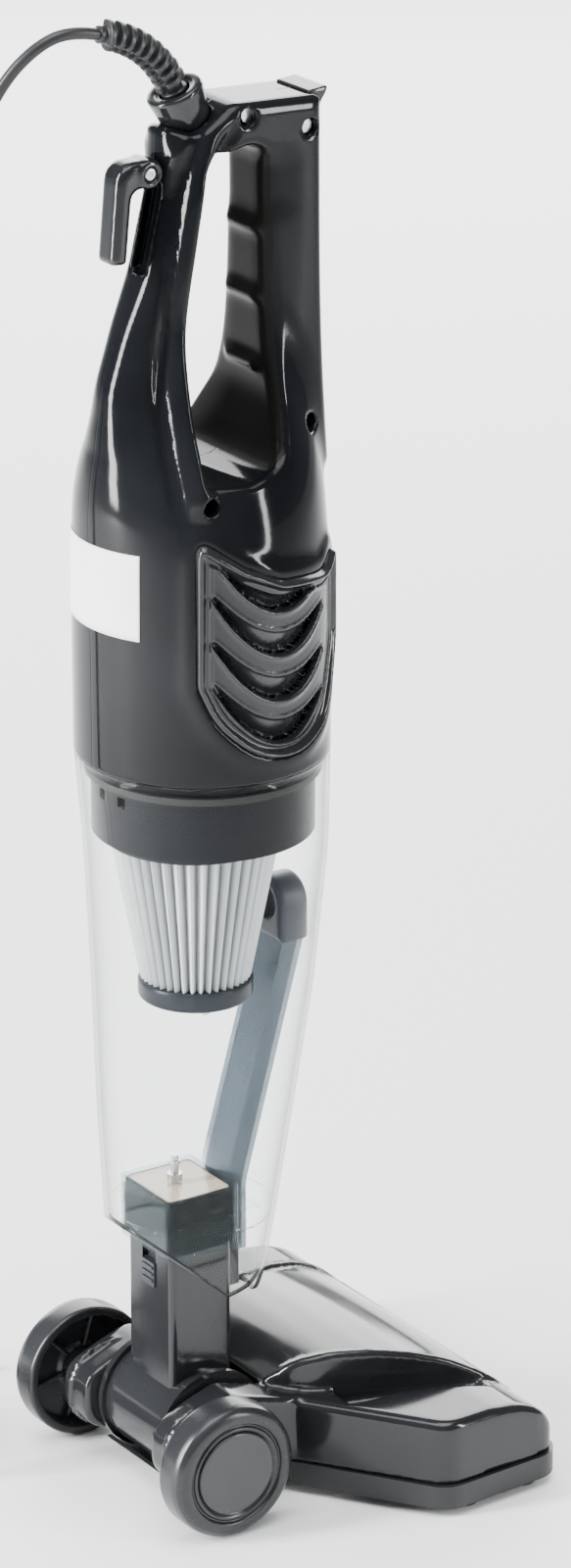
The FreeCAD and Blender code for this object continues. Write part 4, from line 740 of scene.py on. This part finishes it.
def vent_field(P, side):
    x = P[:, 0] * side
    u, r = vent_frame(P)
    z = P[:, 2]
    shield = shield_distance(u, z)
    sag = np.where(u < -6, 0.0255, 0.0205) * (u + 6.0) ** 2
    tall = 10.2 * np.sqrt(np.clip(1 - ((u + 9.0) / 30.5) ** 2, 0, 1))
    blade = np.zeros(len(u))
    for foot in LOUVRES:
        t = (z - foot - sag) / np.maximum(tall, 0.4)
        scoop = smoothstep(-0.05, 0.05, t) * (1 - np.clip(t, 0, 1)) ** 0.8
        ends = smoothstep(0.5, 6.0, tall)
        lip = np.exp(-((z - foot - sag + 1.2) / 1.7) ** 2) * smoothstep(0, 3.0, tall)
        crease = np.exp(-((z - foot - sag - tall - 0.6) / 0.9) ** 2) * ends
        blade = blade - 4.6 * scoop * ends + 1.0 * lip + 0.35 * crease
    blade = blade * smoothstep(-4.0, -7.5, shield)
    rim = 2.7 * np.exp(-((shield + 2.3) / 1.6) ** 2) + 0.9 * np.exp(-((shield + 6.6) / 0.9) ** 2)
    surface = r - (53.4 + blade + rim)
    back = (50.6 + np.minimum(blade, 0) * 0.7) - r
    d = smooth_max(surface, back, 0.6)
    d = smooth_max(d, shield, 1.2)
    return smooth_max(d, 4.0 - x, 0.5)


for side, name in ((-1, "vent_right"), (1, "vent_left")):
    lo, hi = (-60, -14) if side < 0 else (14, 60)
    vent = moulding(name, lambda P, s=side: vent_field(P, s), (lo, -20, 336), (hi, 84, 446), 0.85,
                    mats["cover_black"])
    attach(vent, "motor_unit")
    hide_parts("vent_grille_right" if side < 0 else "vent_grille_left")


# ------------------------------------------------------------------ small pieces of the handle
TRIM = rounded([(76.2, 606.2, 0.5), (77.2, 508, 0.3), (78.4, 508, 0.3), (78.2, 602.5, 3), (81.2, 607.0, 1),
                (82.0, 609.6, 0.3), (72.5, 608.6, 0.3), (72.5, 607.4, 0.3)], 1)
trim_outline = table_distance(TRIM, (60, 495), (95, 620), 0.5)
trim = moulding("front_trim", lambda P: smooth_max(trim_outline(P[:, 1], P[:, 2]), np.abs(P[:, 0]) - 12.0, 0.8),
                (-13.5, 70, 506), (13.5, 84, 612), 0.7, mats["cover_black"])
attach(trim, "motor_unit")
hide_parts("handle_front_trim")

HOOK = rounded([(4.0, 588.8, 3), (-14.5, 588.8, 10), (-18.2, 547.4, 2.5), (-10.6, 546.8, 2.5), (-7.6, 577.0, 5),
                (4.0, 577.2, 2)], 2)
hook_outline = table_distance(HOOK, (-40, 520), (30, 610), 0.5)


def hook_field(P):
    x = np.abs(P[:, 0])
    f, z = P[:, 1], P[:, 2]
    arm = smooth_max(hook_outline(f, z), x - 6.9, 4.2)
    from_screw = np.hypot(f - HOOK_F, z - HOOK_Z)
    eye = smooth_max(from_screw - 5.9, x - 6.9, 1.5)
    hole = np.maximum(from_screw - 3.1, 4.6 - x)
    stem = np.maximum(np.hypot(x, z - HOOK_Z) - 3.5, np.maximum(3.0 - f, f - 14.7))
    return np.minimum(smooth_max(smooth_min(arm, eye, 1.0), -hole, 0.8), stem)


hook = moulding("hook_arm", hook_field, (-9, -21, 544), (9, 17, 592), 0.8, mats["cover_black"])
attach(hook, "cord_hook")
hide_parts("cord_hook")
SCREW_PROFILE = bend_profile([(4.6, 2.9), (5.5, 2.9), (6.1, 2.4), (6.2, 0.9), (5.8, 0.7), (5.8, 0.0001)], 0.4)
for side in (-1, 1):
    pin = lathe("hook_screw", SCREW_PROFILE, at(0, HOOK_F, HOOK_Z), (side, 0, 0), mats["steel"], 40)
    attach(pin, "cord_hook")

GLAND_PROFILE = bend_profile([(-9.0, 2.9), (-9.0, 7.6), (0.0, 7.6), (0.05, 9.6), (1.0, 10.0), (13.2, 11.7),
                              (14.6, 12.0), (16.0, 11.4), (16.0, 8.4), (15.2, 7.9), (15.2, 6.6), (3.0, 6.4),
                              (3.0, 2.9)], 0.7)
gland = lathe("gland_cone", GLAND_PROFILE, at(0, GLAND_F, GLAND_Z), (0, -GLAND_WAY[0], GLAND_WAY[1]),
              mats["cover_black"], 72)
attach(gland, "motor_unit")
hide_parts("cord_gland")


def make_boot():
    """The strain relief: a straight sleeve, then a bent tapering core with half rings on alternate sides."""
    up = np.array(GLAND_WAY)
    up = up / np.linalg.norm(up)
    foot = np.array([GLAND_F, GLAND_Z])
    sleeve_start, straight, sleeve_radius = 3.5, 13.5, 5.6
    start = foot + up * (sleeve_start + straight)
    tip = np.array(CORD_END)
    chord = tip - start
    away = chord - up * (chord @ up)
    away = away / np.linalg.norm(away)
    radius = (chord @ chord) / (2 * (chord @ away))
    turn = 2 * math.atan2(chord @ away, chord @ up)
    centre = start + away * radius
    length = straight + radius * turn
    rows, around = 420, 64
    ribs, first_rib, rib_height = 9, 15.0, 2.7
    pitch = (length - first_rib - 1.5) / ribs
    verts = []
    for i in range(rows + 1):
        s = length * i / rows
        if s < straight:
            point = foot + up * (sleeve_start + s)
            way = up
        else:
            a = (s - straight) / radius
            point = centre - away * radius * math.cos(a) + up * radius * math.sin(a)
            way = up * math.cos(a) + away * math.sin(a)
        normal = np.array([-way[1], way[0]])
        core = 4.35 - 0.75 * (s / length)
        for k in range(around):
            phi = 2 * math.pi * k / around
            if s < straight - 1.0:
                r = sleeve_radius
            else:
                side = math.cos(phi - 0.6)
                phase = (s - first_rib) / pitch - (0.0 if side > 0 else 0.5)
                near = abs(phase - round(phase)) * pitch
                on_rib = -0.2 <= phase <= ribs - 0.3
                rise = (1 - float(smoothstep(0.9, 1.35, np.array(near)))) if on_rib else 0.0
                gap = float(smoothstep(0.05, 0.28, np.array(abs(side))))
                r = min(core + rib_height * rise * gap, sleeve_radius + rib_height)
            flat = point + normal * r * math.sin(phi)
            verts.append(at(r * math.cos(phi), flat[0], flat[1]))
    faces = tube_faces(rows + 1, around) + end_faces(rows + 1, around)
    boot = new_object("strain_relief", verts, faces, mats["cord_pvc"])
    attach(boot, "motor_unit")
    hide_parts("cord_boot")


make_boot()


def make_label():
    """The blank label: a thin film, each of whose points is moved onto the housing's own surface."""
    around, rows = 60, 12
    low, high = math.radians(-29.5), math.radians(28.0)
    bottom, height = 395.0, 36.5
    points, angles, lifts = [], [], []
    for lift in (0.42, 0.06):
        for i in range(rows + 1):
            z = bottom + height * i / rows
            r = float(HALF_X(z))
            for k in range(around + 1):
                a = low + (high - low) * k / around
                points.append((r * math.sin(a), 27.4 - r * math.cos(a), z))
                angles.append(a)
                lifts.append(lift)
    points, angles, lifts = np.array(points), np.array(angles), np.array(lifts)
    outward = np.stack([np.sin(angles), -np.cos(angles), np.zeros_like(angles)], 1)
    for _ in range(12):
        points += outward * np.clip(lifts - housing_field(points), -1.5, 1.5)[:, None]
    verts = [at(*point) for point in points]
    n = around + 1
    size = n * (rows + 1)
    faces = []
    for i in range(rows):
        for k in range(around):
            q = [i * n + k, i * n + k + 1, (i + 1) * n + k + 1, (i + 1) * n + k]
            faces.append(tuple(q))
            faces.append(tuple(size + v for v in q[::-1]))
    for i in range(rows):
        for k in (0, around):
            q = [i * n + k, (i + 1) * n + k, size + (i + 1) * n + k, size + i * n + k]
            faces.append(tuple(q if k == 0 else q[::-1]))
    for k in range(around):
        for i in (0, rows):
            q = [i * n + k, i * n + k + 1, size + i * n + k + 1, size + i * n + k]
            faces.append(tuple(q[::-1] if i == 0 else q))
    label = new_object("label_film", verts, faces, mats["label"])
    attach(label, "motor_unit")
    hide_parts("rating_label")


make_label()

# ------------------------------------------------------------------ dust cup
CUP_Z = [76, 94, 120, 170, 230, 290, 333]
CUP_REAR = curve_table(CUP_Z, [-15.6, -16.0, -16.8, -19.0, -20.2, -22.6, -26.2], 6)
CUP_FRONT = curve_table(CUP_Z, [47.6, 51.0, 56.2, 64.5, 74.4, 80.6, 81.1], 6)
MOUTH_F = [-20.0, 18.0, 30.0, 44.0, 51.0, 60.0]
MOUTH_Z = [127.0, 94.5, 96.0, 101.0, 103.0, 103.0]


def cup_middle(z):
    return (CUP_FRONT(z) + CUP_REAR(z)) / 2


def cup_radius(z):
    return (CUP_FRONT(z) - CUP_REAR(z)) / 2


def make_cup():
    """The clear cup: a double wall from its cut mouth, with a tongue at the front, up to the housing."""
    around, rows = 288, 44
    wall, edge = 1.7, 1.1
    tongue_radius = cup_radius(95.0)
    verts = []
    for inset in (0.0, wall):
        for row in range(rows):
            for k in range(around):
                a = 2 * math.pi * k / around
                # the mouth's height depends on f, which depends on the height: a few rounds settle it
                low = 100.0
                for _ in range(6):
                    f = cup_middle(low) + cup_radius(low) * math.sin(a)
                    aside = abs(tongue_radius * math.cos(a))
                    tongue = 21.0 * float(smoothstep(27.0, 8.0, aside)) if math.sin(a) > 0 else 0
                    low = float(np.interp(f, MOUTH_F, MOUTH_Z)) - tongue
                t = (row - 1) / (rows - 2)
                z = low + edge + (MOUTH_TOP - edge - low) * t if row else low
                radius = cup_radius(z) - inset
                verts.append(at(-radius * math.cos(a), cup_middle(z) + radius * math.sin(a), z))
    size = rows * around
    faces = tube_faces(rows, around) + [q[::-1] for q in tube_faces(rows, around, size)]
    for row in (0, rows - 1):
        for k in range(around):
            m = (k + 1) % around
            q = [row * around + k, size + row * around + k, size + row * around + m, row * around + m]
            faces.append(tuple(q if row == 0 else q[::-1]))
    cup = new_object("cup_shell", verts, faces, mats["cup_clear"])
    cup.data.materials.append(mats["cup_edge"])
    for face in cup.data.polygons:
        # both rims and the first strip above the mouth are the denser material
        levels = set(v // around % rows for v in face.vertices)
        if len(levels) == 1 or min(levels) == 0:
            face.material_index = 1

    def floor_field(P):
        disc = smooth_max(np.hypot(P[:, 0], P[:, 1] - 19.9) - 35.3, np.abs(P[:, 2] - 125.2) - 1.2, 0.4)
        return smooth_max(disc, -np.maximum(np.abs(P[:, 0]) - 19.4, np.abs(P[:, 1] - 20.5) - 22.5), 0.4)

    def socket_field(P):
        outside = smooth_max(np.abs(P[:, 0]) - 19.6, np.abs(P[:, 1] - PIVOT_F) - 18.2, 3.0)
        inside = smooth_max(np.abs(P[:, 0]) - 18.1, np.abs(P[:, 1] - PIVOT_F) - 16.7, 2.0)
        return np.maximum(np.maximum(outside, -inside), np.abs(P[:, 2] - 124.0) - 14.0)

    socket = moulding("cup_socket", socket_field, (-21, -5, 108), (21, 35, 140), 0.9, mats["cup_low"])
    floor = moulding("cup_floor", floor_field, (-38, -18, 121), (38, 60, 129), 1.3, mats["cup_clear"])
    for piece in (cup, floor, socket):
        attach(piece, "dust_cup")
    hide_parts("dust_cup")


make_cup()


HOOD_Z, HOOD_HALF = 255.5, 12.0


def hood_field(P):
    x = np.abs(P[:, 0])
    f, z = P[:, 1], P[:, 2]
    crown = np.hypot(x, z - HOOD_Z) - HOOD_HALF
    block = np.maximum(x - HOOD_HALF, 240.2 - z)
    shape = np.where(z > HOOD_Z, crown, block)
    shape = smooth_max(shape, np.abs(f - 66.2) - 7.3, 3.0)
    hole = np.maximum(np.hypot(x, z - 256.0) - 7.4, f - 64.0)
    return smooth_max(shape, -hole, 0.8)


hood = moulding("hood_shell", hood_field, (-14, 57, 238), (14, 75, 270), 0.9, mats["hood_dark"])
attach(hood, "dust_cup")
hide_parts("duct_hood")

RING_PROFILE = bend_profile([(0.3, 0.0001), (0.3, 19.0), (0.0, 20.0), (0.0, 23.2), (1.2, 24.5), (7.6, 24.5),
                             (9.0, 23.9), (9.0, 21.5), (5.0, 20.5), (2.0, 19.0), (2.0, 0.0001)], 1.0)
ring = lathe("filter_ring", RING_PROFILE, at(0, FILTER_F, 222.0), (0, 0, 1), mats["filter_frame"], 120)
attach(ring, "filter")
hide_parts("filter_bottom_cap")


# ------------------------------------------------------------------ wheels
WHEEL_OUT = 67.7  # x of a wheel's outer face
RIM_PROFILE = [(-16.0, 4.1), (-16.0, 8.6), (-8.0, 8.6), (-6.4, 11.0), (-6.4, 25.0), (-15.6, 25.8), (-15.9, 29.4),
               (-14.4, 30.0), (-5.5, 30.0), (-2.6, 29.3), (-0.8, 27.5), (-0.1, 25.0), (-0.2, 22.9), (-1.6, 22.3),
               (-1.6, 21.5), (-0.4, 20.9), (-0.9, 19.6), (-1.7, 18.8), (-1.8, 4.1)]
CAP_PROFILE = [(-1.75, 0.0001), (-1.75, 18.6), (-0.7, 18.3), (-0.45, 16.0), (-0.25, 0.0001)]


def rib_field(side, angle):
    """A low spoke on a wheel's inner face, from the hub out to the rim."""
    def field(P):
        across = P[:, 1] * math.sin(angle) - (P[:, 2] - AXLE_Z) * math.cos(angle)
        along = P[:, 1] * math.cos(angle) + (P[:, 2] - AXLE_Z) * math.sin(angle)
        ends = smooth_max(np.abs(along - 16.6) - 8.6, np.abs(P[:, 0] * side - (WHEEL_OUT - 7.6)) - 1.7, 0.4)
        return smooth_max(np.abs(across) - 0.9, ends, 0.5)

    return field


def make_wheel(side, name):
    def turned(part, profile, radius, material, count):
        profile = bend_profile([(WHEEL_OUT + along, r) for along, r in profile], radius)
        return lathe(name + part, profile, at(0, 0, AXLE_Z), (side, 0, 0), material, count)

    wheel = turned("_rim", RIM_PROFILE, 0.8, mats["wheel_black"], 128)
    inner, outer = sorted((side * (WHEEL_OUT - 14), side * (WHEEL_OUT - 5)))
    ribs = [moulding("%s_rib_%d" % (name, k), rib_field(side, math.radians(60 * k + 14)), (inner, -27, 3),
                     (outer, 27, 57), 1.2, mats["wheel_black"]) for k in range(6)]
    cap = turned("_cap", CAP_PROFILE, 0.5, mats["wheel_cap"], 96)
    for piece in [wheel, cap] + ribs:
        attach(piece, name)
    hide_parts(name)
    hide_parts(name.replace("wheel_", "wheel_cap_"))


make_wheel(1, "wheel_left")
make_wheel(-1, "wheel_right")

# ------------------------------------------------------------------ floor head
HEAD_PLAN = rounded([(-44, 43, 3), (44, 43, 3), (102.0, 85, 14), (98.6, 146.2, 13), (-98.6, 146.2, 13),
                     (-102.0, 85, 14)], 6)
ROOF_PLAN = rounded([(-30, 38, 5), (30, 38, 5), (43, 58, 20), (55, 92, 40), (70, 134, 12), (64, 147, 6),
                     (-64, 147, 6), (-70, 134, 12), (-55, 92, 40), (-43, 58, 20)], 5)
head_distance = table_distance(HEAD_PLAN, (-115, 20), (115, 160))
roof_distance = table_distance(ROOF_PLAN, (-115, 20), (115, 160))
# the height of the wings and of the dome's edge, along f
WING_TOP = curve_table([40, 84, 112, 124, 132, 139, 144, 148], [43.5, 43.5, 43.2, 41.5, 38.5, 33.5, 28.0, 21.0], 2)
ARCH = curve_table([38, 44, 52, 63, 80, 97, 113, 126, 136, 144],
                   [47, 52.5, 58.0, 60.6, 59.6, 56.5, 51.5, 44.5, 37.5, 29.0], 3)
EAR = rounded([(-1, 12, 10), (14, 7, 8), (41, 14.7, 1), (50, 14.7, 1), (50, 43.5, 1), (38, 46, 6), (14, 53, 9),
               (0, 48.3, 12), (-17.5, 41, 12), (-17.5, 19, 12)], 6)
ear_distance = table_distance(EAR, (-40, -10), (80, 80))
POCKET_F = [60, 75, 92, 110, 124]
POCKET_X = [61, 61.5, 64, 69, 74]  # how far out the hollow beside the dome reaches


def cover_field(P):
    x = np.abs(P[:, 0])
    f, z = P[:, 1], P[:, 2]
    plan = head_distance(x, f)
    wing = smooth_max(plan, z - WING_TOP(f), 4.5)
    side = roof_distance(x, f)
    # the dome, with a rolled rib along both of its edges
    arch = ARCH(f)
    dome = smooth_max(side + 1.0, z - (arch - 2.0 + 1.4 * (1 - np.clip(x / 50, 0, 1) ** 2)), 1.5)
    rib = np.hypot(side + 2.4, z - (arch - 2.6)) - 2.6
    rib = np.minimum(rib, np.maximum(np.abs(side + 2.4) - 2.4, z - (arch - 2.6)))
    rib = smooth_max(rib, plan + 0.5, 3.0)
    # the hollow between the rib and the wing
    ends = np.maximum(-side, np.maximum(63.0 - f, f - 124.0))
    pocket = smooth_max(x - np.interp(f, POCKET_F, POCKET_X), ends, 2.0)
    pocket = smooth_max(pocket, 36.0 + 0.04 * (f - 62) - z, 2.0)
    wing = smooth_max(wing, -pocket, 2.2)
    solid = smooth_min(wing, np.minimum(dome, rib), 1.2)
    # the arms that carry the neck and the wheels
    ear = smooth_max(ear_distance(f, z), np.abs(x - 35.2) - 9.6, 2.5)
    solid = smooth_min(solid, ear, 2.0)
    spigot = smooth_max(np.hypot(f, z - AXLE_Z) - (15.5 - 0.9 * (x - 43)), x - 51.0, 0.8)
    spigot = np.maximum(spigot, 38.0 - x)
    solid = smooth_min(solid, spigot, 2.0)
    # room for the neck's barrel, then the flat lower edge
    cradle = 27.2 - np.hypot(f - PIVOT_F, z - AXLE_Z)
    solid = smooth_max(solid, np.where(x < 25.45, cradle, -50.0), 0.6)
    return smooth_max(solid, 14.7 - z - 40.0 * smoothstep(41.5, 40.0, f), 0.6)


cover = moulding("head_cover", cover_field, (-106, -20, 5), (106, 150, 64), 1.7, mats["cover_black"])
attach(cover, "head")
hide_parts("head_top_cover")

# ------------------------------------------------------------------ materials of the CAD nodes that still show
slots = {s["node"]: s["material_slot"] for s in frame["record"]["subparts"]}
for name, node in frame["nodes"].items():
    slot = slots[name]
    if slot in mats:
        if not node.material_slots:
            node.data.materials.append(mats[slot])
        for holder in node.material_slots:
            holder.material = mats[slot]
